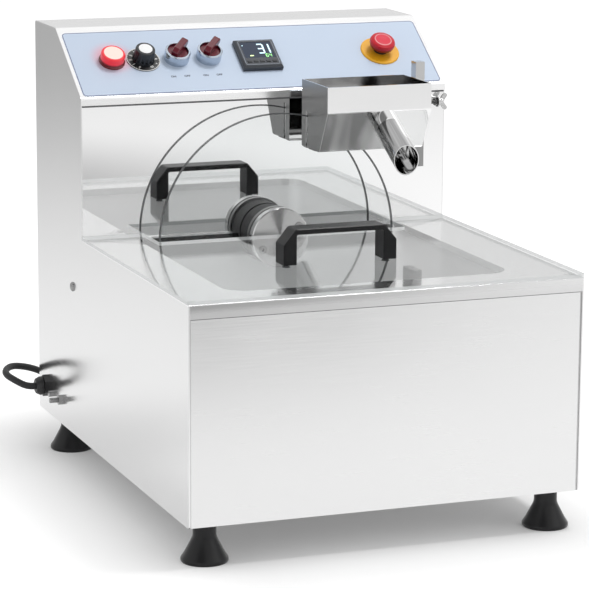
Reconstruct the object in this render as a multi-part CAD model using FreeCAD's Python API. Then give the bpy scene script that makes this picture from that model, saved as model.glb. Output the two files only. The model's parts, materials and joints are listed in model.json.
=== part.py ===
import FreeCAD, Part
import os
from math import atan2, cos, degrees, pi, radians, sin, sqrt, tan

# A table-top chocolate melter: a heated tank under a clear lid, a clear wheel that lifts the
# chocolate into a folded scraper hopper, and a sloped control panel behind it.
# Millimetres, +Z up, the front towards -Y. The origin is on the table, midway between the sides
# and midway between the front and the rear of the cabinet.

V = FreeCAD.Vector
UP = V(0, 0, 1)
RIGHT = V(1, 0, 0)
BACK = V(0, 1, 0)

# Cabinet
body_width = 440.0
body_depth = 556.0
foot_height = 43.0
rim_height = 233.0       # cabinet bottom to the top of the tank deck
wall_height = 393.0      # cabinet bottom to the lower edge of the sloped panel
top_height = 461.0       # cabinet bottom to the top
wall_depth = 373.0       # front to the mirror wall
slope_run = 98.0         # depth of the sloped panel
sheet = 1.5              # sheet thickness of the cabinet
bend = 2.0               # inside radius of the folds
strip_height = 8.5       # lower flange of the sloped panel
rear_flange = 20.0       # rear flange of the top
panel_gap = 1.5          # shadow gap beside the front panel
panel_inset = 2.0        # front panel behind the lip
lip_height = 15.0        # folded front lip of the deck
base_thickness = 2.0
snug = 0.05              # radial clearance of screws and fixed shafts in their holes

# Feet
foot_radius = 25.0
foot_neck_radius = 12.7
foot_neck_height = 17.0
foot_rim_height = 5.0
foot_side_inset = 26.0
foot_front_inset = 27.0
foot_rear_inset = 45.0
foot_stud_radius = 4.0
foot_stud_length = 12.0
foot_nut_radius = 7.5
foot_nut_height = 6.5

# Tank
tank_half_width = 160.0
tank_front = 50.0        # deck in front of the opening
tank_rear = 3.0          # deck between the opening and the wall
tank_depth = 155.0
tank_corner = 26.0
barrel_notch = 3.0       # clearance of the tank's notch round the barrel
wall_overlap = 8.0       # mirror wall below the tank's notch
heater_thickness = 2.0
heater_margin = 24.0
insulation_thickness = 15.0
probe_radius = 3.0
probe_length = 60.0

# Wheel
wheel_height = 231.0     # cabinet bottom to the axis
wheel_radius = 141.0
wheel_thickness = 3.0
wheel_gap = 36.0         # wall to the middle of the disc
hub_radius = 34.0
cap_thickness = 10.0
cap_dish = 0.8
ring_thickness = 6.0
barrel_radius = 32.0
barrel_gap = 2.0
shaft_radius = 6.0
running_fit = 0.05
hub_screw_circle = 25.0
hub_screw_angle = 30.0
hub_screw_radius = 2.5
hub_screw_head = 4.25
hub_screw_length = 24.0
socket_radius = 2.3
socket_depth = 2.5

# Drive
bearing_radius = 14.0
bearing_width = 8.0
seal_width = 6.0
housing_radius = 34.0
housing_thickness = 22.0
gearbox_width = 64.0
gearbox_depth = 50.0
gearbox_height = 84.0
motor_radius = 31.0
motor_length = 112.0
motor_drop = 18.0

# Lid
lid_thickness = 4.0
lid_overhang = 1.0
lid_gap = 1.0
lid_corner = 5.0
notch_half_width = 148.0
notch_depth = 58.0
handle_half_width = 65.0
handle_depth = 26.0
handle_height = 38.5
handle_bar = 6.0
handle_leg = 15.0
handle_chamfer_width = 14.0
handle_chamfer_height = 17.0
handle_front = 142.0     # front of the cabinet to the handle
handle_edge = 1.6
lid_screw_radius = 2.5
lid_screw_head = 5.0
lid_screw_reach = 14.0
countersink = 2.6

# Hopper, placed from the wheel
hopper_left = 35.0
hopper_right = 160.0
hopper_ahead = 64.0      # front of the hopper to the middle of the disc
hopper_toe = 39.0        # foot of the sloped sheet to the middle of the disc
hopper_behind = 16.0     # middle of the disc to the rear of the hopper
hopper_rise = 100.0      # wheel's axis to the hopper's floor
hopper_slant = 47.0      # floor to the fold
hopper_face = 29.0       # fold to the top
hopper_sheet = 1.5
wheel_slot = 2.6         # half width of the slot for the wheel
floor_slot_front = 17.0  # the floor stops this far in front of the disc
slot_margin = 5.0
blade_thickness = 1.2
blade_gap = 0.4
blade_width = 15.0
blade_length = 72.0

# Spout
spout_x = 106.0
spout_radius = 15.0
spout_wall = 1.5         # wall of the stub on the hopper
tube_wall = 1.0          # wall of the tube
spout_down = 13.9        # distance of the tube's axis from the fold, along the sheet
spout_stub = 16.0
spout_reach = 122.0      # upright end of the tube to the middle of the disc
spigot_length = 12.0
spigot_wall = 1.2

# Upright bar and wing screw
post_left = 177.0
post_width = 11.0
post_depth = 15.0
post_below = 32.5        # end of the bar to the hopper's floor
post_above = 13.0        # hopper's top to the end of the bar
guide_gap = 0.3
guide_wall = 3.0
guide_rise = 29.0        # hopper's floor to the guide
guide_height = 30.0
guide_flange = 20.0      # part of the guide on the hopper's cheek
wing_rise = 12.6         # lower end of the guide to the screw's axis
wing_depth = 11.0        # wall to the screw's axis
wing_screw_radius = 2.5
wing_shank = 19.1
washer_radius = 5.6
spring_washer_radius = 4.2
washer_thickness = 1.6
washer_gap = 2.0
wing_hub_radius = 4.0
wing_hub_length = 5.0
wing_span = 11.5
wing_width = 5.0
wing_thickness = 2.6
wing_tilt = 38.0

# Control panel, measured along the slope from its lower edge
row_height = 59.5
overlay_margin = 4.0
overlay_bottom = 3.0
overlay_top = 110.0
overlay_thickness = 0.4
overlay_corner = 5.0
lamp_x = -169.0
dial_x = -132.0
motor_selector_x = -92.5
heat_selector_x = -54.0
controller_x = 5.0
controller_row = 57.0
estop_x = 157.0
estop_row = 58.0
panel_hole = 11.2
lamp_radius = 15.0
lamp_height = 13.0
dial_radius = 19.5
dial_thickness = 1.0
knob_radius = 13.0
knob_top_radius = 11.0
knob_height = 17.0
knob_flutes = 16
flute_radius = 1.7
knob_cap_radius = 7.8
knob_cap_thickness = 1.0
pot_shaft_radius = 3.0
pot_bush_radius = 4.0
pot_radius = 12.0
pot_length = 14.0
bezel_radius = 14.5
bezel_height = 12.5
bezel_wall = 2.2
selector_recess = 3.0
selector_clearance = 0.3
lever_length = 15.0
lever_width = 8.0
lever_height = 12.5
spindle_radius = 4.0
controller_size = 48.0
controller_bezel = 7.0
controller_chamfer = 2.4
controller_body = 44.6
controller_length = 70.0
window_width = 37.0
window_height = 27.0
window_rise = 4.5
window_thickness = 1.2
button_count = 5
button_width = 5.2
button_height = 3.0
button_pitch = 7.6
button_drop = 15.5
button_clearance = 0.2
button_proud = 0.8
button_travel = 0.6
button_depth = 3.0
estop_radius = 23.0
estop_collar = 2.0
estop_head_radius = 15.0
estop_head_bottom = 7.0
estop_head_top = 19.0
estop_stem_radius = 8.0
estop_stem_length = 18.0
estop_travel = 4.0
block_width = 24.0
block_length = 34.0
bushing_radius = 11.0
selector_barrel = 13.5
block_gap = 0.3

# Left side and rear
gland_radius = 13.0
gland_length = 15.0
gland_height = 33.0
gland_inset = 35.0
gland_thread_radius = 8.0
gland_thread_length = 12.0
gland_nut_height = 6.0
stud_height = 29.5
stud_inset = 96.0
stud_radius = 3.0
stud_length = 15.0
stud_nut_radius = 5.8
stud_nut_height = 5.0
dome_radius = 5.5
dome_height = 3.0
dome_shank_radius = 2.4
dome_shank_length = 8.0
side_dome_height = 173.0
side_dome_inset = 145.0
side_screw_height = 28.5
side_screw_inset = 60.0
side_screw_head = 3.6
side_screw_proud = 6.0
rear_screw_inset = 9.0
louvre_count = 8
louvre_length = 70.0
louvre_width = 5.0
louvre_pitch = 14.0
louvre_offset = 75.0
louvre_bottom = 70.0

# Electrics on the base pan
board_width = 100.0
board_depth = 70.0
board_thickness = 1.6
standoff_radius = 3.5
standoff_height = 8.0
part_height = 18.0
terminal_width = 60.0
terminal_depth = 22.0
terminal_height = 20.0
relay_width = 45.0
relay_depth = 58.0
relay_height = 27.0

# Mains lead
cord_radius = 4.0
coil_radius = 40.0       # middle of the turns
coil_turns_wide = 2
coil_turns_high = 3
coil_x = -50.0
coil_behind = 10.0       # rear of the cabinet to the coil
plug_radius = 18.5
plug_length = 42.0
plug_boot_radius = 7.0
plug_boot_length = 16.0
pin_radius = 2.4
pin_length = 19.0
pin_spacing = 19.0

# Worked out from the sizes above
half_width = body_width / 2
front = -body_depth / 2
rear = body_depth / 2
base_z = foot_height
deck_z = base_z + rim_height
top_z = base_z + top_height
wall_y = front + wall_depth
inner_half = half_width - sheet
axis_z = base_z + wheel_height
disc_y = wall_y - wheel_gap
slope_foot = V(0, wall_y - sheet, base_z + wall_height)
slope_head = V(0, wall_y + slope_run, top_z)
slope_angle = atan2(slope_head.z - slope_foot.z, slope_head.y - slope_foot.y)
slope_length = (slope_head - slope_foot).Length
hopper_front = disc_y - hopper_ahead
hopper_foot = disc_y - hopper_toe
hopper_rear = disc_y + hopper_behind
hopper_bottom = axis_z + hopper_rise
hopper_fold = hopper_bottom + hopper_slant
hopper_top = hopper_fold + hopper_face
guide_bottom = hopper_bottom + guide_rise
wing_z = guide_bottom + wing_rise


def box(x0, x1, y0, y1, z0, z1):
    """Block between two corners."""
    return Part.makeBox(x1 - x0, y1 - y0, z1 - z0, V(x0, y0, z0))


def rod(radius, start, axis, length):
    """Round bar from a point along an axis."""
    return Part.makeCylinder(radius, length, start, axis)


def ring(outer, inner, start, axis, length):
    """Round bar with a bore."""
    return rod(outer, start, axis, length).cut(rod(inner, start, axis, length))


def rounded_loop(points, radii):
    """Closed wire through the points, with each corner rounded to its own radius."""
    edges = []
    starts = []
    ends = []
    count = len(points)
    for i, corner in enumerate(points):
        before = (points[i - 1] - corner).normalize()
        after = (points[(i + 1) % count] - corner).normalize()
        half = before.getAngle(after) / 2
        if radii[i] <= 0:
            starts.append(corner)
            ends.append(corner)
            continue
        reach = radii[i] / tan(half)
        middle = corner + (before + after).normalize() * (radii[i] / sin(half) - radii[i])
        starts.append(corner + before * reach)
        ends.append(corner + after * reach)
        edges.append(Part.Arc(starts[-1], middle, ends[-1]).toShape())
    for i in range(count):
        following = starts[(i + 1) % count]
        if (following - ends[i]).Length > 1e-6:
            edges.append(Part.makeLine(ends[i], following))
    return Part.Wire(Part.__sortEdges__(edges))


def prism(points, radii, direction):
    """Outline with rounded corners, pushed along a direction."""
    return Part.Face(rounded_loop(points, radii)).extrude(direction)


def side_prism(outline, radii, x0, x1):
    """Prism across the width from an outline of depths and heights."""
    points = [V(x0, y, z) for y, z in outline]
    return prism(points, radii, V(x1 - x0, 0, 0))


def plate(x0, x1, y0, y1, z0, thickness, corner):
    """Flat plate with rounded corners."""
    points = [V(x0, y0, z0), V(x1, y0, z0), V(x1, y1, z0), V(x0, y1, z0)]
    return prism(points, [corner] * 4, V(0, 0, thickness))


def turned(profile, centre=V(0, 0, 0), axis=UP):
    """Body of revolution from a list of radius and height."""
    points = [V(r, 0, z) for r, z in profile]
    face = Part.Face(Part.makePolygon(points + points[:1]))
    body = face.revolve(V(0, 0, 0), UP, 360)
    body.Placement = FreeCAD.Placement(centre, FreeCAD.Rotation(UP, axis))
    return body


def offset_line(points, distance):
    """Open line of depths and heights moved sideways, to its right where distance is positive."""
    normals = []
    for a, b in zip(points, points[1:]):
        length = sqrt((b[0] - a[0]) ** 2 + (b[1] - a[1]) ** 2)
        normals.append(((b[1] - a[1]) / length, -(b[0] - a[0]) / length))
    moved = []
    for i, point in enumerate(points):
        first = normals[max(i - 1, 0)]
        second = normals[min(i, len(normals) - 1)]
        share = 1 + first[0] * second[0] + first[1] * second[1]
        moved.append((point[0] + distance * (first[0] + second[0]) / share,
                      point[1] + distance * (first[1] + second[1]) / share))
    return moved


def folded(outer, thickness, x0, x1):
    """Sheet folded along an outer line of depths and heights."""
    inner = offset_line(outer, thickness)
    bends = len(outer) - 2
    radii = [0] + [bend + thickness] * bends + [0, 0] + [bend] * bends + [0]
    return side_prism(outer + inner[::-1], radii, x0, x1)


def rounded_block(x0, x1, y0, y1, z0, z1, upright, lower):
    """Block with rounded upright and lower edges."""
    block = box(x0, x1, y0, y1, z0, z1)
    corners = [e for e in block.Edges if abs(e.tangentAt(e.FirstParameter).z) > 0.9]
    block = block.makeFillet(upright, corners)
    bottom = [e for e in block.Edges if e.BoundBox.ZMax < z0 + 1e-6]
    return block.makeFillet(lower, bottom)


def on_slope(shape, x, along):
    """Places a shape on the sloped panel: its own Z becomes the panel's outward normal."""
    turn = FreeCAD.Rotation(RIGHT, degrees(slope_angle))
    base = slope_foot + V(x, 0, 0) + turn.multVec(V(0, along, 0))
    placed = shape.copy()
    placed.Placement = FreeCAD.Placement(base, turn).multiply(placed.Placement)
    return placed


def hexagon(across, start, axis, height):
    """Hexagonal nut blank, across is its corner radius."""
    points = [V(across * cos(pi * i / 3), across * sin(pi * i / 3), 0) for i in range(6)]
    nut = Part.Face(Part.makePolygon(points + points[:1])).extrude(V(0, 0, height))
    nut.Placement = FreeCAD.Placement(start, FreeCAD.Rotation(UP, axis))
    return nut


def foot_centres():
    """Centres of the four feet on the table."""
    x = half_width - foot_side_inset
    return [V(sx * x, y, 0) for sx in (-1, 1)
            for y in (front + foot_front_inset, rear - foot_rear_inset)]


def top_line():
    """Outer line of the sloped panel and the top, from its lower flange to its rear flange."""
    return [(slope_foot.y, slope_foot.z - strip_height), (slope_foot.y, slope_foot.z),
            (slope_head.y, top_z), (rear, top_z), (rear, top_z - rear_flange)]


def side_panel(sign):
    """One flat side with the step of the cabinet, holed for what is fixed on the left side."""
    inner = offset_line(top_line(), sheet)
    outline = [(front, base_z), (rear, base_z), (rear, top_z - rear_flange),
               (rear - sheet, top_z - rear_flange), inner[3], inner[2], inner[1],
               (wall_y, deck_z - sheet), (front, deck_z - sheet)]
    radii = [bend + sheet, 0, 0, 0, bend, bend, bend, 0, 0]
    x0 = sign * inner_half
    panel = side_prism(outline, radii, x0, x0 + sign * sheet)
    if sign > 0:
        return panel
    outside = -half_width
    for radius, inset, height in ((gland_thread_radius, gland_inset, gland_height),
                                  (stud_radius, stud_inset, stud_height),
                                  (dome_shank_radius, side_dome_inset, side_dome_height),
                                  (dome_shank_radius, side_screw_inset, side_screw_height)):
        start = V(outside, rear - inset, base_z + height)
        panel = panel.cut(rod(radius + snug, start, RIGHT, sheet))
    return panel


def front_panel():
    """Front sheet under the lip, between the two sides."""
    y = front + panel_inset
    sheet_half = inner_half - panel_gap
    return box(-sheet_half, sheet_half, y, y + sheet, base_z, deck_z - sheet)


def base_pan():
    """Floor of the cabinet, holed for the studs of the feet."""
    pan = box(-inner_half, inner_half, front + panel_inset + sheet, rear - sheet,
              base_z, base_z + base_thickness)
    for centre in foot_centres():
        hole = rod(foot_stud_radius + snug, centre + UP * base_z, UP, base_thickness)
        pan = pan.cut(hole)
    return pan


def feet():
    """Four cone feet, each with its moulded-in stud."""
    cone_top = foot_height - foot_neck_height
    edge = 1.5
    profile = [(0, 0), (foot_radius - edge, 0), (foot_radius, edge),
               (foot_radius, foot_rim_height), (foot_radius - edge, foot_rim_height + edge),
               (foot_neck_radius + 3 * edge, cone_top - edge), (foot_neck_radius, cone_top + edge),
               (foot_neck_radius, foot_height), (foot_stud_radius, foot_height),
               (foot_stud_radius, foot_height + foot_stud_length),
               (0, foot_height + foot_stud_length)]
    return Part.makeCompound([turned(profile, centre) for centre in foot_centres()])


def foot_nuts():
    """Hexagonal nuts that hold the feet from inside."""
    nuts = []
    height = foot_nut_height
    for centre in foot_centres():
        start = centre + UP * (base_z + base_thickness)
        nut = hexagon(foot_nut_radius, start, UP, height)
        nuts.append(nut.cut(rod(foot_stud_radius + snug, start, UP, height)))
    return Part.makeCompound(nuts)


def tank():
    """Pressed basin welded into the deck with its folded lip, both notched for the barrel."""
    y0 = front + tank_front
    y1 = wall_y - tank_rear
    bottom = deck_z - tank_depth
    deck = box(-half_width, half_width, front, wall_y, deck_z - sheet, deck_z)
    front_edge = [e for e in deck.Edges
                  if e.BoundBox.YMax < front + 1e-6 and e.BoundBox.ZMin > deck_z - 1e-6]
    deck = deck.makeFillet(sheet * 0.9, front_edge)
    lip = box(-inner_half, inner_half, front, front + sheet, deck_z - lip_height, deck_z - sheet)
    outside = rounded_block(-tank_half_width - sheet, tank_half_width + sheet, y0 - sheet, y1 + sheet,
                            bottom - sheet, deck_z, tank_corner + sheet, tank_corner + sheet)
    hollow = rounded_block(-tank_half_width, tank_half_width, y0, y1,
                           bottom, deck_z, tank_corner, tank_corner)
    half = barrel_radius + barrel_notch
    axis = V(0, y1 - tank_corner, axis_z)
    notch = rod(half, axis, BACK, wall_y - axis.y)
    notch = notch.fuse(box(-half, half, axis.y, wall_y, axis_z, axis_z + tank_depth))
    deck = deck.fuse(lip).cut(outside).cut(notch).removeSplitter()
    return Part.makeCompound([deck, outside.cut(hollow).cut(notch)])


def heater_mat():
    """Flat heater bonded under the basin."""
    bottom = deck_z - tank_depth - sheet
    half = tank_half_width - tank_corner - heater_margin
    y0 = front + tank_front + tank_corner + heater_margin
    y1 = wall_y - tank_rear - tank_corner - heater_margin
    return plate(-half, half, y0, y1, bottom - heater_thickness, heater_thickness, 8)


def insulation_board():
    """Board under the heater, recessed for the temperature probe."""
    top = deck_z - tank_depth - sheet - heater_thickness
    half = tank_half_width - tank_corner
    y0 = front + tank_front + tank_corner
    y1 = wall_y - tank_rear - tank_corner
    board = box(-half, half, y0, y1, top - insulation_thickness, top)
    return board.cut(probe_solid(probe_radius + snug))


def probe_solid(radius):
    """Rod of the temperature probe, against the underside of the heater."""
    top = deck_z - tank_depth - sheet - heater_thickness
    middle = (front + tank_front + wall_y - tank_rear) / 2
    return rod(radius, V(-probe_length / 2, middle, top - probe_radius - snug), RIGHT, probe_length)


def back_wall():
    """Mirror-polished wall behind the wheel, down past the tank's notch."""
    low = axis_z - barrel_radius - barrel_notch - wall_overlap
    wall = box(-inner_half, inner_half, wall_y, wall_y + sheet,
               low, slope_foot.z - strip_height / 2)
    return wall.cut(rod(bearing_radius + snug, V(0, wall_y, axis_z), BACK, sheet))


def panel_holes():
    """Round holes of the control panel: place along the width, place along the slope, radius."""
    return ((lamp_x, row_height, panel_hole), (dial_x, row_height, pot_bush_radius + snug),
            (motor_selector_x, row_height, panel_hole), (heat_selector_x, row_height, panel_hole),
            (estop_x, estop_row, panel_hole))


def cut_controls(shape):
    """Cuts the holes of the controls out of a sheet that lies on the slope."""
    reach = 4 * sheet
    for x, along, radius in panel_holes():
        shape = shape.cut(on_slope(rod(radius, V(0, 0, -reach), UP, 2 * reach), x, along))
    half = controller_body / 2 + 0.2
    window = box(-half, half, -half, half, -reach, reach)
    return shape.cut(on_slope(window, controller_x, controller_row))


def fascia():
    """Lower flange, sloped panel, top and rear flange, folded from one sheet."""
    return cut_controls(folded(top_line(), sheet, -half_width, half_width))


def panel_overlay():
    """Thin printed plate on the slope."""
    half = half_width - overlay_margin
    overlay = plate(-half, half, overlay_bottom, overlay_top, 0, overlay_thickness, overlay_corner)
    return cut_controls(on_slope(overlay, 0, 0))


def rear_cover():
    """Rear sheet with two fields of louvres."""
    cover = box(-inner_half, inner_half, rear - sheet, rear, base_z, top_z - rear_flange)
    slots = []
    for side in (-1, 1):
        for row in range(louvre_count):
            z = base_z + louvre_bottom + row * louvre_pitch
            x0 = side * louvre_offset - louvre_length / 2
            points = [V(x0, rear - sheet, z), V(x0 + louvre_length, rear - sheet, z),
                      V(x0 + louvre_length, rear - sheet, z + louvre_width),
                      V(x0, rear - sheet, z + louvre_width)]
            slots.append(prism(points, [louvre_width * 0.4] * 4, V(0, sheet, 0)))
    cover = cover.cut(Part.makeCompound(slots))
    for point in rear_screw_points():
        cover = cover.cut(rod(dome_shank_radius + snug, point - BACK * sheet, BACK, sheet))
    return cover


def rear_screw_points():
    """Places of the rear cover's screws."""
    low = base_z + rear_screw_inset
    high = top_z - rear_flange - rear_screw_inset
    x = inner_half - rear_screw_inset
    return [V(sx * x, rear, z) for sx in (-1, 1) for z in (low, (low + high) / 2, high)]


def dome_screw(point, axis):
    """Dome-headed screw with its head outside and its shank inside the sheet."""
    profile = [(0, -dome_shank_length), (dome_shank_radius, -dome_shank_length),
               (dome_shank_radius, 0), (dome_radius, 0), (dome_radius * 0.93, dome_height * 0.45),
               (dome_radius * 0.7, dome_height * 0.8), (dome_radius * 0.35, dome_height),
               (0, dome_height)]
    return turned(profile, point, axis)


def panel_screws():
    """Dome-headed screws of the rear cover and of the left side."""
    screws = [dome_screw(point, BACK) for point in rear_screw_points()]
    screws.append(dome_screw(V(-half_width, rear - side_dome_inset, base_z + side_dome_height), -RIGHT))
    point = V(-half_width, rear - side_screw_inset, base_z + side_screw_height)
    cap_screw = rod(side_screw_head, point, -RIGHT, side_screw_proud)
    shank = rod(dome_shank_radius, point + RIGHT * dome_shank_length, -RIGHT, dome_shank_length + 1)
    screws.append(cap_screw.fuse(shank))
    return Part.makeCompound(screws)


def housing_start():
    """Front of the bearing housing on the wheel's axis."""
    return V(0, wall_y + sheet, axis_z)


def bearing_housing():
    """Flanged housing behind the wall that carries the wheel's shaft."""
    start = housing_start()
    housing = rod(housing_radius, start, BACK, housing_thickness)
    return housing.cut(rod(bearing_radius + snug, start, BACK, housing_thickness))


def shaft_seal():
    """Lip seal in the wall and the mouth of the housing."""
    start = V(0, wall_y, axis_z)
    return ring(bearing_radius, shaft_radius + running_fit, start, BACK, seal_width)


def shaft_bearings():
    """Two ball bearings in the housing."""
    first = V(0, wall_y + seal_width, axis_z)
    last = housing_start() + BACK * (housing_thickness - bearing_width)
    bore = shaft_radius + running_fit
    races = [ring(bearing_radius, bore, start, BACK, bearing_width) for start in (first, last)]
    return Part.makeCompound(races)


def gearbox():
    """Worm gearbox with a through bore for the shaft."""
    y0 = wall_y + sheet + housing_thickness
    half = gearbox_width / 2
    z0 = axis_z - gearbox_height / 2 - motor_drop / 2
    block = box(-half, half, y0, y0 + gearbox_depth, z0, z0 + gearbox_height)
    upright = [e for e in block.Edges if e.BoundBox.YLength > gearbox_depth - 1e-6]
    block = block.makeFillet(8, upright)
    bore = rod(shaft_radius + running_fit, V(0, y0, axis_z), BACK, gearbox_depth)
    return block.cut(bore)


def motor():
    """Motor on the side of the gearbox, with its end bell."""
    y = wall_y + sheet + housing_thickness + gearbox_depth / 2
    z = axis_z - motor_drop
    bell = 6.0
    small = motor_radius * 0.6
    profile = [(0, 0), (small, 0), (small, bell), (motor_radius, bell),
               (motor_radius, motor_length - bell), (motor_radius - bell, motor_length),
               (0, motor_length)]
    return turned(profile, V(-gearbox_width / 2, y, z), -RIGHT)


def wheel_shaft():
    """Shaft from the hub through the wall, the bearings and the gearbox."""
    start = V(0, disc_y - wheel_thickness / 2, axis_z)
    end_y = wall_y + sheet + housing_thickness + gearbox_depth + 3
    return rod(shaft_radius, start, BACK, end_y - start.y)


def hub_screw_centres(y):
    """Axes of the two screws of the hub at a depth."""
    a = radians(hub_screw_angle)
    return [V(s * hub_screw_circle * cos(a), y, axis_z + s * hub_screw_circle * sin(a))
            for s in (-1, 1)]


def drill_hub(shape):
    """Drills the two screws of the hub right through a piece."""
    for centre in hub_screw_centres(wall_y - 3 * wheel_gap):
        shape = shape.cut(rod(hub_screw_radius + snug, centre, BACK, 3 * wheel_gap))
    return shape


def hub_barrel():
    """Black barrel between the disc and the wall, with blind threads for the screws."""
    y0 = disc_y + wheel_thickness / 2 + ring_thickness
    start = V(0, y0, axis_z)
    barrel = ring(barrel_radius, shaft_radius + snug, start, BACK, wall_y - barrel_gap - y0)
    reach = cap_thickness + wheel_thickness + ring_thickness
    for centre in hub_screw_centres(y0):
        barrel = barrel.cut(rod(hub_screw_radius + snug, centre, BACK, hub_screw_length - reach))
    return barrel


def hub_clamp_ring():
    """Steel ring that clamps the disc from behind."""
    start = V(0, disc_y + wheel_thickness / 2, axis_z)
    return drill_hub(ring(hub_radius, shaft_radius + snug, start, BACK, ring_thickness))


def wheel_disc():
    """Clear disc that runs through the chocolate."""
    start = V(0, disc_y - wheel_thickness / 2, axis_z)
    return drill_hub(ring(wheel_radius, shaft_radius + snug, start, BACK, wheel_thickness))


def hub_cap():
    """Turned steel cap with two counterbores."""
    y1 = disc_y - wheel_thickness / 2
    edge = 1.0
    profile = [(0, 0), (hub_radius, 0), (hub_radius, cap_thickness - edge),
               (hub_radius - edge, cap_thickness), (hub_radius - 2 * edge, cap_thickness),
               (0, cap_thickness - cap_dish)]
    cap = drill_hub(turned(profile, V(0, y1, axis_z), -BACK))
    depth = hub_screw_head * 1.1
    for centre in hub_screw_centres(y1 - cap_thickness):
        cap = cap.cut(rod(hub_screw_head + 0.5, centre, BACK, depth))
    return cap


def hub_screws():
    """Two socket screws that clamp the hub together."""
    screws = []
    head = hub_screw_head * 1.1
    for centre in hub_screw_centres(disc_y - wheel_thickness / 2 - cap_thickness):
        screw = rod(hub_screw_head, centre, BACK, head)
        screw = screw.fuse(rod(hub_screw_radius, centre, BACK, hub_screw_length))
        screws.append(screw.cut(hexagon(socket_radius, centre, BACK, socket_depth)))
    return Part.makeCompound(screws)


def lid_screw_centres():
    """Axes of the two screws of the handle, on the underside of the lid."""
    x = handle_half_width - handle_leg / 2
    y = front + handle_front + handle_depth / 2
    return [V(sx * x, y, deck_z) for sx in (-1, 1)]


def lid_screw(centre, extra=0.0):
    """Countersunk screw flush with the underside of the lid, or the hole for it."""
    cone = Part.makeCone(lid_screw_head + extra, lid_screw_radius + extra, countersink, centre, UP)
    return cone.fuse(rod(lid_screw_radius + extra, centre, UP, lid_screw_reach))


def lid():
    """Clear lid with a notch that lets the wheel through."""
    x = half_width + lid_overhang
    y0 = front - lid_overhang
    y1 = wall_y - lid_gap
    y2 = wall_y - notch_depth
    points = [V(-x, y0, deck_z), V(x, y0, deck_z), V(x, y1, deck_z), V(notch_half_width, y1, deck_z),
              V(notch_half_width, y2, deck_z), V(-notch_half_width, y2, deck_z),
              V(-notch_half_width, y1, deck_z), V(-x, y1, deck_z)]
    radii = [lid_corner, lid_corner, 1, 1, 2, 2, 1, 1]
    plate_solid = prism(points, radii, V(0, 0, lid_thickness))
    for centre in lid_screw_centres():
        plate_solid = plate_solid.cut(lid_screw(centre, snug))
    return plate_solid


def lid_handle():
    """Bridge handle with chamfered corners."""
    w = handle_half_width
    y = front + handle_front
    z = deck_z + lid_thickness
    top = z + handle_height
    shoulder = top - handle_chamfer_height
    leg = w - handle_leg
    points = [V(-w, y, z), V(-w, y, shoulder), V(-w + handle_chamfer_width, y, top),
              V(w - handle_chamfer_width, y, top), V(w, y, shoulder), V(w, y, z), V(leg, y, z),
              V(leg, y, top - handle_bar), V(-leg, y, top - handle_bar), V(-leg, y, z)]
    radii = [0, 3, 4, 4, 3, 0, 0, 2, 2, 0]
    handle = prism(points, radii, V(0, handle_depth, 0))
    rims = []
    for edge in handle.Edges:
        bounds = edge.BoundBox
        if bounds.YLength < 1e-6 and bounds.ZMin > z + 1e-6:
            rims.append(edge)
    handle = handle.makeChamfer(handle_edge / 2, rims)
    for centre in lid_screw_centres():
        handle = handle.cut(lid_screw(centre, snug))
    return handle


def lid_screws():
    """Two countersunk screws of the handle."""
    return Part.makeCompound([lid_screw(centre) for centre in lid_screw_centres()])


def hopper_line(inset):
    """Outline of the hopper's end, moved inwards by a wall."""
    line = [(hopper_front, hopper_top), (hopper_front, hopper_fold), (hopper_foot, hopper_bottom),
            (hopper_rear, hopper_bottom), (hopper_rear, hopper_top)]
    return offset_line(line, -inset)


def spout_axis():
    """Start of the spout on the outside of the sloped sheet, and its direction."""
    fold = V(spout_x, hopper_front, hopper_fold)
    foot = V(spout_x, hopper_foot, hopper_bottom)
    along = (foot - fold).normalize()
    outward = V(0, along.z, -along.y)
    return fold + along * spout_down, outward


def guide():
    """Channel with a flange welded to the hopper's right cheek, which slides on the upright bar."""
    x0 = post_left - guide_gap
    x1 = post_left + post_width + guide_gap
    y_bar = wall_y - post_depth - guide_gap
    z0 = guide_bottom
    z1 = z0 + guide_height
    y_deep = slope_foot.y - guide_gap
    flange = box(hopper_right, hopper_right + guide_wall, hopper_rear - guide_flange, y_bar, z0, z1)
    web = box(hopper_right, x1 + guide_wall, y_bar - guide_wall, y_bar, z0, z1)
    left = box(x0 - guide_wall, x0, y_bar - guide_wall, y_deep, z0, z1)
    right = box(x1, x1 + guide_wall, y_bar - guide_wall, y_deep, z0, z1)
    channel = flange.fuse(web).fuse(left).fuse(right).removeSplitter()
    start = V(x1, wall_y - wing_depth, wing_z)
    return channel.cut(rod(wing_screw_radius + running_fit, start, RIGHT, guide_wall))


def hopper_wrap():
    """Front, sloped sheet, floor and rear of the hopper, each up to the middle of its folds."""
    outer, inner = hopper_line(0), hopper_line(hopper_sheet)
    x0, x1 = hopper_left + hopper_sheet, hopper_right - hopper_sheet
    wrap = side_prism(outer, [0, bend + hopper_sheet, bend + hopper_sheet, bend, 0], x0, x1)
    wrap = wrap.cut(side_prism(inner, [0, bend, bend, 0.5, 0], hopper_left, hopper_right))
    start, outward = spout_axis()
    bore = rod(spout_radius - spout_wall, start - outward * 3 * hopper_sheet, outward, spout_stub)
    reach = sqrt(wheel_radius ** 2 - hopper_rise ** 2)
    slot = box(hopper_left, reach + slot_margin, disc_y - floor_slot_front, disc_y + wheel_slot,
               hopper_bottom, hopper_bottom + hopper_sheet)
    wrap = wrap.cut(bore).cut(slot)
    panels = []
    for i in range(len(outer) - 1):
        panel = [outer[i], outer[i + 1], inner[i + 1], inner[i]]
        panels.append(wrap.common(side_prism(panel, [0] * 4, x0, x1)))
    return panels


def hopper_cheek(x0):
    """One flat end of the hopper."""
    radii = [0, bend + hopper_sheet, bend + hopper_sheet, bend, 0]
    return side_prism(hopper_line(0), radii, x0, x0 + hopper_sheet)


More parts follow.
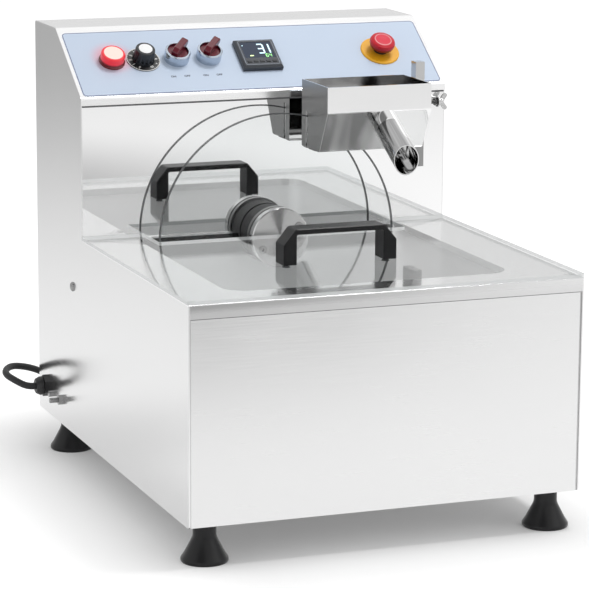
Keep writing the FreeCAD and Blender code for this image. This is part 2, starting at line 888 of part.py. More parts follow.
def hopper():
    """Scraper hopper that straddles the wheel: wrap, cheeks, spout stub and guide, welded up."""
    reach = sqrt(wheel_radius ** 2 - hopper_left ** 2)
    slot = box(hopper_left, hopper_left + hopper_sheet, disc_y - wheel_slot, disc_y + wheel_slot,
               hopper_bottom, axis_z + reach + slot_margin)
    left = hopper_cheek(hopper_left).cut(slot)
    right = hopper_cheek(hopper_right - hopper_sheet)
    start, outward = spout_axis()
    stub = ring(spout_radius, spout_radius - spout_wall, start - outward * bend, outward,
                spout_stub + bend)
    radii = [0, bend + hopper_sheet, bend + hopper_sheet, bend, 0]
    stub = stub.cut(side_prism(hopper_line(0), radii, hopper_left, hopper_right))
    return Part.makeCompound(hopper_wrap() + [left, right, stub, guide()])


def scraper_blades():
    """Two thin blades under the hopper's floor, one on each side of the disc."""
    z1 = hopper_bottom
    x0 = hopper_left + hopper_sheet
    front_edge = disc_y - wheel_thickness / 2 - blade_gap
    rear_edge = disc_y + wheel_thickness / 2 + blade_gap
    reach = floor_slot_front - wheel_thickness / 2 - blade_gap + 6
    front_blade = box(x0, x0 + blade_length, front_edge - reach, front_edge, z1 - blade_thickness, z1)
    rear_blade = box(x0, x0 + blade_length, rear_edge, rear_edge + blade_width - 3,
                     z1 - blade_thickness, z1)
    return Part.makeCompound([front_blade, rear_blade])


def spout_tube():
    """Push-fit tube of the spout, cut upright at its mouth, with the spigot that enters the stub."""
    start, outward = spout_axis()
    seat = start + outward * spout_stub
    length = (seat.y - disc_y + spout_reach) / -outward.y + 2 * spout_radius
    tube = rod(spout_radius, seat, outward, length)
    spigot_radius = spout_radius - spout_wall - running_fit
    tube = tube.fuse(rod(spigot_radius, seat - outward * spigot_length, outward, spigot_length + 1))
    tube = tube.cut(rod(spigot_radius - spigot_wall, seat - outward * spigot_length, outward,
                        length + spigot_length))
    tube = tube.cut(rod(spout_radius - tube_wall, seat + outward * 2, outward, length))
    wide = 3 * spout_radius
    y1 = disc_y - spout_reach
    beyond = box(spout_x - wide, spout_x + wide, y1 - 3 * wide, y1, seat.z - 3 * wide, seat.z + wide)
    return tube.cut(beyond)


def hopper_post():
    """Upright bar on the mirror wall that carries the hopper, rebated for the panel's flange."""
    x1 = post_left + post_width
    low = hopper_bottom - post_below
    high = hopper_top + post_above
    bar = box(post_left, x1, wall_y - post_depth, wall_y, low, high)
    return bar.cut(box(post_left, x1, slope_foot.y, wall_y, slope_foot.z - strip_height, high))


def wing_screw():
    """Wing screw with its washers, which clamps the guide on the bar."""
    x0 = post_left + post_width + guide_gap
    start = V(x0, wall_y - wing_depth, wing_z)
    screw = rod(wing_screw_radius, start, RIGHT, wing_shank + wing_hub_length)
    washers = ((washer_radius, washer_thickness),
               (spring_washer_radius, 2 * washer_thickness + washer_gap))
    for radius, back in washers:
        place = start + RIGHT * (wing_shank - back)
        screw = screw.fuse(rod(radius, place, RIGHT, washer_thickness))
    hub_start = start + RIGHT * wing_shank
    hub = Part.makeCone(wing_hub_radius + 1, wing_hub_radius - 1, wing_hub_length, hub_start, RIGHT)
    screw = screw.fuse(hub)
    for side in (-1, 1):
        points = [V(0, 0, 0), V(wing_width, 0, 0), V(wing_width, 0, wing_span), V(0, 0, wing_span)]
        wing = prism(points, [0, 0, wing_width * 0.45, wing_width * 0.45], V(0, wing_thickness, 0))
        wing.translate(V(-wing_width / 2, -wing_thickness / 2, 0))
        wing.rotate(V(0, 0, 0), BACK, wing_tilt)
        if side < 0:
            wing.rotate(V(0, 0, 0), RIGHT, 180)
        wing.translate(hub_start + RIGHT * wing_hub_length / 2)
        screw = screw.fuse(wing)
    return screw


def pilot_lamp():
    """Lamp with a raised lens, its body behind the panel."""
    edge = 1.2
    r = lamp_radius
    profile = [(0, -block_length), (bushing_radius, -block_length),
               (bushing_radius, overlay_thickness), (r, overlay_thickness), (r, 2.5),
               (r - edge, 3.2), (r - edge, lamp_height - edge), (r - 2 * edge, lamp_height),
               (0, lamp_height)]
    return on_slope(turned(profile), lamp_x, row_height)


def dial_plate():
    """Round scale plate under the speed knob."""
    z0 = overlay_thickness
    scale = ring(dial_radius, pot_bush_radius + snug, V(0, 0, z0), UP, dial_thickness)
    return on_slope(scale, dial_x, row_height)


def potentiometer():
    """Speed control behind the panel."""
    body = rod(pot_radius, V(0, 0, -sheet - pot_length), UP, pot_length)
    bush = rod(pot_bush_radius, V(0, 0, -sheet), UP, sheet + overlay_thickness)
    body = body.fuse(bush)
    body = body.cut(rod(pot_shaft_radius + running_fit, V(0, 0, -pot_length), UP, 2 * pot_length))
    return on_slope(body, dial_x, row_height)


def speed_knob():
    """Fluted knob with its spindle."""
    z0 = overlay_thickness + dial_thickness + 0.3
    z1 = overlay_thickness + knob_height
    knob = Part.makeCone(knob_radius, knob_top_radius, z1 - z0, V(0, 0, z0), UP)
    flutes = []
    for i in range(knob_flutes):
        a = 2 * pi * i / knob_flutes
        spot = V(knob_radius * cos(a), knob_radius * sin(a), z0 + 3)
        flutes.append(rod(flute_radius, spot, UP, z1))
    knob = knob.cut(Part.makeCompound(flutes))
    top_rim = [e for e in knob.Edges if e.BoundBox.ZMin > z1 - 1e-6]
    knob = knob.makeChamfer(0.6, top_rim)
    recess = rod(knob_cap_radius + snug, V(0, 0, z1 - knob_cap_thickness), UP, 2 * knob_cap_thickness)
    knob = knob.cut(recess)
    knob = knob.fuse(rod(pot_shaft_radius, V(0, 0, 2 - pot_length), UP, pot_length))
    return on_slope(knob, dial_x, row_height)


def knob_cap():
    """Pale cap let into the top of the knob."""
    z1 = overlay_thickness + knob_height
    cap = rod(knob_cap_radius, V(0, 0, z1 - knob_cap_thickness), UP, knob_cap_thickness + 0.4)
    return on_slope(cap, dial_x, row_height)


def selector_bezel(x):
    """Turned bezel of a selector with its barrel behind the panel."""
    z0 = overlay_thickness
    z1 = z0 + bezel_height
    r = bezel_radius
    bore = spindle_radius + running_fit
    seat = z1 - selector_recess - 2
    profile = [(bore, -selector_barrel), (bushing_radius, -selector_barrel), (bushing_radius, z0),
               (r, z0), (r, z1 - 1), (r - 0.8, z1), (r - bezel_wall, z1), (r - bezel_wall, seat),
               (bore, seat)]
    return on_slope(turned(profile), x, row_height)


def selector_bezels():
    """Bezels of the two selectors."""
    return Part.makeCompound([selector_bezel(x) for x in (motor_selector_x, heat_selector_x)])


def selector_handle(x):
    """Disc and lever of a selector on its spindle."""
    z1 = overlay_thickness + bezel_height
    seat = z1 - selector_recess - 2 + 0.1
    radius = bezel_radius - bezel_wall - selector_clearance
    disc = rod(radius, V(0, 0, seat), UP, 2)
    half = lever_width / 2
    start = -radius * 0.8
    tip = seat + 2 + lever_height
    outline = [V(-half, start, seat), V(-half, start, tip - 6), V(-half, start + 5, tip - 3),
               V(-half, lever_length - 2, tip), V(-half, lever_length, tip - 1.5),
               V(-half, lever_length, tip - 7), V(-half, radius * 0.7, seat + 2),
               V(-half, radius * 0.7, seat)]
    lever = prism(outline, [0, 1, 1.5, 1, 1, 1, 0, 0], V(lever_width, 0, 0))
    sides = []
    for edge in lever.Edges:
        bounds = edge.BoundBox
        if bounds.XLength < 1e-6 and bounds.ZMin > tip - 8:
            sides.append(edge)
    lever = lever.makeChamfer(0.9, sides)
    spindle = rod(spindle_radius, V(0, 0, block_gap - selector_barrel), UP, selector_barrel + seat)
    handle = disc.fuse(lever).fuse(spindle)
    handle.rotate(V(0, 0, 0), UP, -45)
    return on_slope(handle, x, row_height)


def contact_blocks():
    """Contact blocks behind the selectors and the emergency stop, the last bored for its stem."""
    blocks = []
    half = block_width / 2
    for x, along, depth in ((motor_selector_x, row_height, selector_barrel),
                            (heat_selector_x, row_height, selector_barrel),
                            (estop_x, estop_row, estop_stem_length)):
        block = box(-half, half, -half, half, -depth - block_length, -depth)
        if depth == estop_stem_length:
            well = estop_travel + 1
            block = block.cut(rod(estop_stem_radius + running_fit, V(0, 0, -depth - well), UP, well))
        blocks.append(on_slope(block, x, along))
    return Part.makeCompound(blocks)


def button_centres():
    """Places of the controller's buttons on its face."""
    middle = (button_count - 1) / 2
    return [((i - middle) * button_pitch, -button_drop) for i in range(button_count)]


def controller_case():
    """Square case with a bevelled front, a window recess and pockets for the buttons."""
    half = controller_size / 2
    z0 = overlay_thickness
    z1 = z0 + controller_bezel
    bezel = box(-half, half, -half, half, z0, z1)
    rim = [e for e in bezel.Edges if e.BoundBox.ZMin > z1 - 1e-6]
    bezel = bezel.makeChamfer(controller_chamfer, rim)
    inner = controller_body / 2
    case = bezel.fuse(box(-inner, inner, -inner, inner, z0 - controller_length, z0))
    w = window_width / 2
    h = window_height / 2
    case = case.cut(box(-w, w, window_rise - h, window_rise + h, z1 - window_thickness, z1 + 1))
    bw = button_width / 2 + button_clearance
    bh = button_height / 2 + button_clearance
    floor_z = z1 - button_depth - button_travel - button_clearance
    for x, y in button_centres():
        case = case.cut(box(x - bw, x + bw, y - bh, y + bh, floor_z, z1 + 1))
    return on_slope(case, controller_x, controller_row)


def controller_window():
    """Display window let into the case."""
    z1 = overlay_thickness + controller_bezel
    w = window_width / 2
    h = window_height / 2
    pane = box(-w, w, window_rise - h, window_rise + h, z1 - window_thickness, z1 - 0.3)
    return on_slope(pane, controller_x, controller_row)


def controller_button(index):
    """One key of the controller."""
    x, y = button_centres()[index]
    z1 = overlay_thickness + controller_bezel
    w = button_width / 2
    h = button_height / 2
    key = box(x - w, x + w, y - h, y + h, z1 - button_depth, z1 + button_proud)
    rim = [e for e in key.Edges if e.BoundBox.ZMin > z1 + button_proud - 1e-6]
    return on_slope(key.makeChamfer(0.4, rim), controller_x, controller_row)


def estop_collar_plate():
    """Yellow collar of the emergency stop with the barrel that passes the panel."""
    z0 = overlay_thickness
    bore = estop_stem_radius + running_fit
    r = estop_radius
    profile = [(bore, -estop_stem_length), (bushing_radius, -estop_stem_length),
               (bushing_radius, z0), (r, z0), (r, z0 + estop_collar * 0.6),
               (r - 1, z0 + estop_collar), (bore, z0 + estop_collar)]
    return on_slope(turned(profile), estop_x, estop_row)


def estop_stem():
    """Stem that the emergency stop's head pushes down."""
    z0 = block_gap - estop_stem_length
    return on_slope(rod(estop_stem_radius, V(0, 0, z0), UP, estop_head_bottom - z0), estop_x, estop_row)


def estop_head():
    """Mushroom head that is pushed to stop and twisted to release."""
    r = estop_head_radius
    z0 = estop_head_bottom + 0.1
    z1 = estop_head_top
    profile = [(0, z0), (r * 0.72, z0), (r * 0.92, z0 + 2.5), (r, z0 + 6), (r, z1 - 3.5),
               (r * 0.93, z1 - 1.4), (r * 0.75, z1 - 0.3), (r * 0.45, z1), (0, z1 - 0.4)]
    return on_slope(turned(profile), estop_x, estop_row)


def control_board():
    """Speed control board on four standoffs on the base pan."""
    z0 = base_z + base_thickness
    x0 = -board_width - 20
    y0 = rear - 45 - board_depth
    z1 = z0 + standoff_height
    board = box(x0, x0 + board_width, y0, y0 + board_depth, z1, z1 + board_thickness)
    inset = 8
    for x in (x0 + inset, x0 + board_width - inset):
        for y in (y0 + inset, y0 + board_depth - inset):
            board = board.fuse(rod(standoff_radius, V(x, y, z0), UP, standoff_height + 1))
    top = z1 + board_thickness
    board = board.fuse(box(x0 + 20, x0 + 50, y0 + 14, y0 + 50, top - 0.5, top + part_height))
    return board.fuse(rod(7, V(x0 + 72, y0 + 32, top - 0.5), UP, part_height))


def mains_blocks():
    """Terminals of the mains lead and the relay that switches the heater."""
    z0 = base_z + base_thickness
    x0 = 30.0
    y0 = rear - 60
    block = box(x0, x0 + terminal_width, y0, y0 + terminal_depth, z0, z0 + terminal_height)
    x1 = x0 + terminal_width + 20
    y1 = y0 + terminal_depth
    relay = box(x1, x1 + relay_width, y1 - relay_depth, y1, z0, z0 + relay_height)
    return Part.makeCompound([block, relay])


def gland_point():
    """Middle of the cable gland on the outside of the left side."""
    return V(-half_width, rear - gland_inset, base_z + gland_height)


def cable_gland():
    """Cable gland with its domed nut outside and its lock nut inside."""
    point = gland_point()
    t = gland_thread_length
    r = gland_radius
    h = gland_nut_height
    profile = [(0, -t), (gland_thread_radius, -t), (gland_thread_radius, h + 1),
               (r * 0.84, h + 1), (r * 0.84, h + 4), (r * 0.68, gland_length - 0.8),
               (r * 0.58, gland_length), (0, gland_length)]
    gland = turned(profile, point, -RIGHT)
    return gland.fuse([hexagon(r, point, -RIGHT, h), hexagon(r, point + RIGHT * (sheet + h), -RIGHT, h)])


def bonding_stud():
    """Equipotential stud with a nut on each side of the sheet."""
    point = V(-half_width, rear - stud_inset, base_z + stud_height)
    inside = 10.0
    stud = rod(stud_radius, point + RIGHT * inside, -RIGHT, inside + stud_length)
    stud = stud.fuse(hexagon(stud_nut_radius, point, -RIGHT, stud_nut_height))
    return stud.fuse(hexagon(stud_nut_radius, point + RIGHT * (sheet + stud_nut_height), -RIGHT,
                             stud_nut_height))


def coil_centre():
    """Centre of the coil on the table."""
    outer = coil_radius + coil_turns_wide * cord_radius
    return V(coil_x, rear + coil_behind + outer, 0)


def lead_route():
    """Points of the lead from the gland, round to the rear and down to the coil."""
    coil = coil_centre()
    start = gland_point() - RIGHT * gland_length
    return [start, V(-244, 243, 76), V(-257, 243.5, 83), V(-268.5, 261, 90), V(-255, 284.5, 93),
            V(-235, 288, 90), V(-214, 292, 82), V(-196, 297, 68), V(-182, 302, 50), V(-167, 305, 33),
            V(-150, 306, 17), V(-130, 304, 7), V(-106, 300, 4.4),
            V(coil.x - 34, coil.y - coil_radius - cord_radius, 4.1),
            V(coil.x - 12, coil.y - coil_radius - cord_radius, 4)]


def lead_path(points):
    """Straight runs joined by arcs as large as the runs allow; prints the smallest radius."""
    edges = []
    last = points[0]
    radii = []
    for i in range(1, len(points) - 1):
        corner = points[i]
        before = points[i - 1] - corner
        after = points[i + 1] - corner
        reach = 0.45 * min(before.Length, after.Length)
        before.normalize()
        after.normalize()
        half = before.getAngle(after) / 2
        radius = reach * tan(half)
        radii.append(radius)
        middle = corner + (before + after).normalize() * (radius / sin(half) - radius)
        edges.append(Part.makeLine(last, corner + before * reach))
        edges.append(Part.Arc(corner + before * reach, middle, corner + after * reach).toShape())
        last = corner + after * reach
    edges.append(Part.makeLine(last, points[-1]))
    wire = Part.Wire(edges)
    print("lead radii", [round(r, 1) for r in radii], "length", round(wire.Length, 1))
    return wire


def cord_lead():
    """Mains lead from the gland to the coil."""
    wire = lead_path(lead_route())
    first = wire.Edges[0]
    section = Part.Wire(Part.makeCircle(cord_radius, first.valueAt(first.FirstParameter),
                                        first.tangentAt(first.FirstParameter)))
    lead = wire.makePipeShell([section], True, False)
    print("lead volume ratio", round(lead.Volume / (pi * cord_radius ** 2 * wire.Length), 4))
    return lead


def cord_coil():
    """Outer shape of the rest of the lead, wound up behind the cabinet."""
    half = coil_turns_wide * cord_radius
    height = coil_turns_high * 2 * cord_radius
    edge = cord_radius * 0.6
    r0 = coil_radius - half
    r1 = coil_radius + half
    profile = [(r0 + edge, 0), (r1 - edge, 0), (r1, edge), (r1, height - edge), (r1 - edge, height),
               (r0 + edge, height), (r0, height - edge), (r0, edge)]
    return turned(profile, coil_centre())


def mains_plug():
    """Round two-pin plug that lies beside the coil, its boot towards the coil."""
    coil = coil_centre()
    start = V(coil.x + coil_radius + coil_turns_wide * cord_radius - 2, coil.y - 10, plug_radius)
    b = plug_boot_length
    total = b + plug_length
    profile = [(0, 0), (plug_boot_radius * 0.8, 0), (plug_boot_radius, b), (plug_radius * 0.75, b + 5),
               (plug_radius * 0.9, b + 16), (plug_radius, b + 24), (plug_radius, total - 1.5),
               (plug_radius - 1.5, total), (0, total)]
    solids = [turned(profile, start, RIGHT)]
    for side in (-1, 1):
        pin = start + RIGHT * total + BACK * (side * pin_spacing / 2)
        solids.append(rod(pin_radius, pin, RIGHT, pin_length))
    return Part.makeCompound(solids)


def pieces():
    """Every piece by the name of its node."""
    made = {
        "base_pan": base_pan(), "feet": feet(), "foot_nuts": foot_nuts(),
        "side_panel_left": side_panel(-1), "side_panel_right": side_panel(1),
        "front_panel": front_panel(), "rear_cover": rear_cover(), "panel_screws": panel_screws(),
        "tank": tank(), "heater_mat": heater_mat(), "insulation_board": insulation_board(),
        "temperature_probe": probe_solid(probe_radius), "back_wall": back_wall(),
        "fascia": fascia(), "panel_overlay": panel_overlay(),
        "bearing_housing": bearing_housing(), "shaft_bearings": shaft_bearings(),
        "shaft_seal": shaft_seal(), "gearbox": gearbox(), "motor": motor(),
        "wheel_shaft": wheel_shaft(), "hub_barrel": hub_barrel(), "hub_clamp_ring": hub_clamp_ring(),
        "wheel_disc": wheel_disc(), "hub_cap": hub_cap(), "hub_screws": hub_screws(),
        "lid": lid(), "lid_handle": lid_handle(), "lid_screws": lid_screws(),
        "hopper": hopper(), "scraper_blades": scraper_blades(), "spout_tube": spout_tube(),
        "hopper_post": hopper_post(), "wing_screw": wing_screw(),
        "pilot_lamp": pilot_lamp(), "dial_plate": dial_plate(), "speed_knob": speed_knob(),
        "knob_cap": knob_cap(), "potentiometer": potentiometer(),
        "selector_bezels": selector_bezels(),
        "motor_selector": selector_handle(motor_selector_x),
        "heat_selector": selector_handle(heat_selector_x), "contact_blocks": contact_blocks(),
        "controller_case": controller_case(), "controller_window": controller_window(),
        "estop_collar": estop_collar_plate(), "estop_stem": estop_stem(), "estop_head": estop_head(),
        "control_board": control_board(), "mains_blocks": mains_blocks(),
        "cable_gland": cable_gland(), "bonding_stud": bonding_stud(),
        "cord_lead": cord_lead(), "cord_coil": cord_coil(), "mains_plug": mains_plug(),
    }
    for i in range(button_count):
        made["controller_button_%d" % (i + 1)] = controller_button(i)
    return made


os.makedirs("parts", exist_ok=True)
for name, shape in pieces().items():
    shape.exportStep("parts/%s.step" % name)
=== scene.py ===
import json
from math import cos, pi, radians, sin
import bpy
from mathutils import Matrix, Vector

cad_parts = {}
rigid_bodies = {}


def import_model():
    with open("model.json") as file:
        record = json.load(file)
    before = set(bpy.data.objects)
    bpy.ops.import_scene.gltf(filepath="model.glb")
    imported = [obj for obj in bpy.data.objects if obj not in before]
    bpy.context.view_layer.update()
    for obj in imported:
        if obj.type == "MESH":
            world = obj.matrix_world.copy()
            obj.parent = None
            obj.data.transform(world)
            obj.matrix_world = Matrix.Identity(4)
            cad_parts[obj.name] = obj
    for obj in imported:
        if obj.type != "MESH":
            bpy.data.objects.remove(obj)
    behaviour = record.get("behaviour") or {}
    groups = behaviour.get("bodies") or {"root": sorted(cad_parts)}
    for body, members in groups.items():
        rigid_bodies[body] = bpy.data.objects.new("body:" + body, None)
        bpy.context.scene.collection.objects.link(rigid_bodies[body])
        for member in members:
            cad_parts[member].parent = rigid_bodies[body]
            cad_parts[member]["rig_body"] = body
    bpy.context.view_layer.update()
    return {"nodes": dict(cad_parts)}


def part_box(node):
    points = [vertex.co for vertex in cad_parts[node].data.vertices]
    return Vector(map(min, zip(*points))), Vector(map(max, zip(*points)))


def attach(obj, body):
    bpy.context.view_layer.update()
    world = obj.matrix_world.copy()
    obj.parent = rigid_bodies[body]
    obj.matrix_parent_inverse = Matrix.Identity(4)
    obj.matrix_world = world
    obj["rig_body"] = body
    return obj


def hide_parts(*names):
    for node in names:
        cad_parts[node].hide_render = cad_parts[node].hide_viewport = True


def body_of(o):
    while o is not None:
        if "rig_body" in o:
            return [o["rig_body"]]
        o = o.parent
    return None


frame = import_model()
nodes = frame["nodes"]
bpy.ops.object.select_all(action="DESELECT")

# The machine's directions and places, in metres
MM = 0.001
ACROSS = Vector((1, 0, 0))
BACK = Vector((0, 1, 0))
UP = Vector((0, 0, 1))
WALL_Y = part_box("back_wall")[0].y
AXIS = (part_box("wheel_disc")[0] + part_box("wheel_disc")[1]) / 2
DECK_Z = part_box("tank")[1].z
SLOPE_RUN = Vector((0, 99.5, 68.0)).normalized()
SLOPE_OUT = Vector((0, -SLOPE_RUN.z, SLOPE_RUN.y))
SLOPE_FOOT = Vector((0, WALL_Y - 1.5 * MM, 436 * MM))

# Places on the sloped panel, in millimetres: across it, and up it from its foot
PANEL_MIDDLE = (0, 56.5)
LAMP, DIAL = (-169, 59.5), (-132, 59.5)
SELECTORS = ((-92.5, 59.5), (-54, 59.5))
CONTROLLER, STOP = (5, 57), (157, 58)

# Heights of prints above the panel, in millimetres
LINE_HEIGHT, WORD_HEIGHT, SCALE_HEIGHT = 0.38, 0.4, 1.42
DISPLAY_HEIGHT, CASE_HEIGHT = 7.16, 7.38

# Scale and detail of the noise that brushed lines and hazy patches share
BRUSHED = (900.0, 3.0)
HAZE = (26.0, 4.0)


def on_panel(x, along, height=0.0):
    """Place on the sloped panel: its own Z points out of the panel."""
    turn = Matrix((ACROSS, SLOPE_RUN, SLOPE_OUT)).transposed().to_4x4()
    spot = SLOPE_FOOT + Vector((x * MM, 0, 0)) + SLOPE_RUN * along * MM + SLOPE_OUT * height * MM
    return Matrix.Translation(spot) @ turn


class Val:
    """A value or colour in a node tree; arithmetic on it adds Math nodes."""

    def __init__(self, owner, socket):
        self.owner = owner
        self.socket = socket

    def math(self, kind, *others):
        """One Math node on the value and on others."""
        values = dict(enumerate((self,) + others))
        return self.owner.node("ShaderNodeMath", {"operation": kind}, values)

    def __add__(self, other):
        return self.math("ADD", other)

    def __sub__(self, other):
        return self.math("SUBTRACT", other)

    def __mul__(self, other):
        return self.math("MULTIPLY", other)

    def __radd__(self, other):
        return self + other

    def __rsub__(self, other):
        return self * -1.0 + other

    def __lt__(self, other):
        return self.math("LESS_THAN", other)

    def __gt__(self, other):
        return self.math("GREATER_THAN", other)

    def size(self):
        """The value without its sign."""
        return self.math("ABSOLUTE")

    def clamp(self):
        """The value held between 0 and 1."""
        return self.math("MAXIMUM", 0.0).math("MINIMUM", 1.0)

    def step(self, start, end):
        """0 below start, 1 above end and smooth between them."""
        sockets = {"Value": self, "From Min": start, "From Max": end}
        settings = {"interpolation_type": "SMOOTHSTEP"}
        return self.owner.node("ShaderNodeMapRange", settings, sockets)

    def dot(self, direction):
        """How far a vector reaches along a direction."""
        return self.owner.node("ShaderNodeVectorMath", {"operation": "DOT_PRODUCT"},
                               {0: self, 1: direction}, "Value")


class Tree:
    """A node tree, which a world or a finish builds in."""

    def __init__(self, tree):
        self.tree = tree

    def fill(self, socket, value):
        """Links or sets one socket."""
        if isinstance(value, Val):
            self.tree.links.new(value.socket, socket)
        elif hasattr(value, "__len__") and len(value) == 3 and socket.type == "RGBA":
            socket.default_value = (*value, 1.0)
        else:
            socket.default_value = value

    def node(self, kind, settings=None, sockets=None, out=0):
        """Adds a node with its settings, then its sockets, and returns one output."""
        made = self.tree.nodes.new(kind)
        for name, value in (settings or {}).items():
            setattr(made, name, value)
        for name, value in (sockets or {}).items():
            self.fill(made.inputs[name], value)
        return Val(self, made.outputs[out])

    def length(self, vector):
        """How long a vector is."""
        return self.node("ShaderNodeVectorMath", {"operation": "LENGTH"}, {0: vector}, "Value")

    def ray(self, *kinds):
        """1 on the named kinds of ray."""
        found = [self.node("ShaderNodeLightPath", out="Is %s Ray" % kind) for kind in kinds]
        return sum(found[1:], found[0]).clamp()


class Finish(Tree):
    """One material: a Principled shader whose sockets are set by name."""

    def __init__(self, name, color, **sockets):
        self.material = bpy.data.materials.new(name)
        self.material.use_nodes = True
        super().__init__(self.material.node_tree)
        self.shader = self.tree.nodes["Principled BSDF"]
        self.output = self.tree.nodes["Material Output"]
        self.set(base_color=(*color, 1.0), **sockets)

    def set(self, **sockets):
        """Sets or links the shader's sockets, such as base_color."""
        for name, value in sockets.items():
            title = name.replace("_", " ").title().replace("Ior", "IOR")
            self.fill(self.shader.inputs[title], value)
        return self

    def from_point(self, origin):
        """Vector from a point, in the object's coordinates."""
        where = self.node("ShaderNodeTexCoord", out="Object")
        return self.node("ShaderNodeVectorMath", {"operation": "SUBTRACT"}, {0: where, 1: origin})

    def along(self, direction, origin=(0, 0, 0)):
        """Distance from a point, measured along a direction."""
        return self.from_point(origin).dot(direction)

    def around(self, direction, origin):
        """Distance from the axis through a point."""
        turned = self.node("ShaderNodeVectorMath", {"operation": "CROSS_PRODUCT"},
                           {0: self.from_point(origin), 1: direction})
        return self.length(turned)

    def facing(self, direction):
        """Cosine between the surface's normal and a direction."""
        return self.node("ShaderNodeNewGeometry", out="Normal").dot(direction)

    def noise(self, scale, detail=2.0, stretch=(1, 1, 1)):
        """Noise on the object's coordinates, drawn out where stretch is small."""
        where = self.node("ShaderNodeTexCoord", out="Object")
        sockets = {"Vector": where, "Scale": stretch}
        drawn = self.node("ShaderNodeMapping", {"vector_type": "POINT"}, sockets)
        sockets = {"Vector": drawn, "Scale": scale, "Detail": detail}
        return self.node("ShaderNodeTexNoise", {}, sockets)

    def blend(self, share, first, second):
        """Mixes two colours."""
        made = self.tree.nodes.new("ShaderNodeMix")
        made.data_type = "RGBA"
        inputs = [s for s in made.inputs if s.type == "RGBA"]
        self.fill(made.inputs[0], share)
        self.fill(inputs[0], first)
        self.fill(inputs[1], second)
        return Val(self, [s for s in made.outputs if s.type == "RGBA"][0])

    def grey(self, tone):
        """Colour of one tone."""
        return self.node("ShaderNodeCombineColor", {}, {0: tone, 1: tone, 2: tone})

    def bump(self, height, strength, distance):
        """Fine relief on the surface."""
        sockets = {"Height": height, "Strength": strength, "Distance": distance}
        return self.set(normal=self.node("ShaderNodeBump", {}, sockets))


def metal(name, tone=0.8):
    """Bare metal, for a finish to build on."""
    return Finish(name, (tone, tone, tone), metallic=1.0)


def brushed_steel(name, tone, rough, grain="x", depth=0.04):
    """Satin stainless sheet with its grain along one direction."""
    stretch = {"x": (0.02, 1, 1), "y": (1, 0.02, 1), "z": (1, 1, 0.02)}[grain]
    steel = metal(name, tone)
    lines = steel.noise(*BRUSHED, stretch)
    patches = steel.noise(9.0)
    steel.set(roughness=rough + (lines - 0.5) * 0.16 + (patches - 0.5) * 0.06)
    steel.set(base_color=steel.grey((lines - 0.5) * 0.05 + (patches - 0.5) * 0.03 + tone))
    return steel.bump(lines, depth, 0.4 * MM)


def polished_steel(name, tone, rough):
    """Mirror-polished stainless with hazy patches and smears."""
    steel = metal(name, tone)
    haze = steel.noise(*HAZE)
    smears = steel.noise(140.0, 2.0, (1, 1, 0.25))
    steel.set(roughness=rough + (haze - 0.5) * rough * 0.7 + (smears - 0.5) * rough * 0.4)
    return steel.set(base_color=steel.grey(tone + (haze - 0.5) * 0.02))


def ridges(distance, pitch):
    """Waves between 0 and 1, one for each pitch in millimetres."""
    return (distance * (2 * pi / (pitch * MM))).math("SINE") * 0.5 + 0.5


def turned_steel(name, tone, rough, pitch=0.8, strength=0.25):
    """Steel faced on a lathe: fine grooves round the wheel's axis."""
    steel = metal(name, tone)
    radius = steel.around(BACK, AXIS)
    wear = steel.noise(60.0, 3.0)
    rings = (radius * 900.0).math("SINE") * 0.03
    steel.set(base_color=steel.grey(tone + rings + (wear - 0.5) * 0.04))
    steel.set(roughness=rough + (wear - 0.5) * 0.08)
    return steel.bump(ridges(radius, pitch), strength, 0.2 * MM)


def threaded_steel(name, tone, rough, bright_from=None):
    """Screws that lie across the machine, their threads as ridges and as painted shading striped
    into their colour, with painted shade on the part below a given end.
    """
    steel = metal(name, tone)
    across = steel.along(ACROSS)
    thread = ridges(across, 1.0)
    wear = steel.noise(80.0, 3.0)
    # painted shade: the colour is striped light and dark with the thread, and darkened to a
    # quarter below the given end
    shade = tone * 0.8 + thread * tone * 0.25 + (wear - 0.5) * 0.05
    if bright_from:
        shade = shade * (across.step(bright_from - MM, bright_from) * 0.75 + 0.25)
    steel.set(base_color=steel.grey(shade))
    steel.set(roughness=rough + (wear - 0.5) * 0.1)
    return steel.bump(thread, 0.5, 0.5 * MM)


def moulded(name, color, rough=0.4, coat=0.0, grain=0.08, scale=900.0):
    """Moulded plastic or rubber with a fine texture."""
    plastic = Finish(name, color, coat_weight=coat, coat_roughness=0.08)
    speckle = plastic.noise(scale, 3.0)
    wear = plastic.noise(30.0, 3.0)
    plastic.set(roughness=rough + (wear - 0.5) * 0.12 + (speckle - 0.5) * 0.08)
    light = tuple(c * 1.15 + 0.01 for c in color)
    plastic.set(base_color=plastic.blend((wear - 0.35).clamp() * 0.5, color, light))
    return plastic.bump(speckle, grain, 0.4 * MM)


def glowing(name, color, strength):
    """Lit figures of a display."""
    light = Finish(name, color, roughness=0.4, emission_strength=strength)
    dim = tuple(c * 0.9 for c in color)
    return light.set(emission_color=light.blend(light.noise(200.0), dim, color))


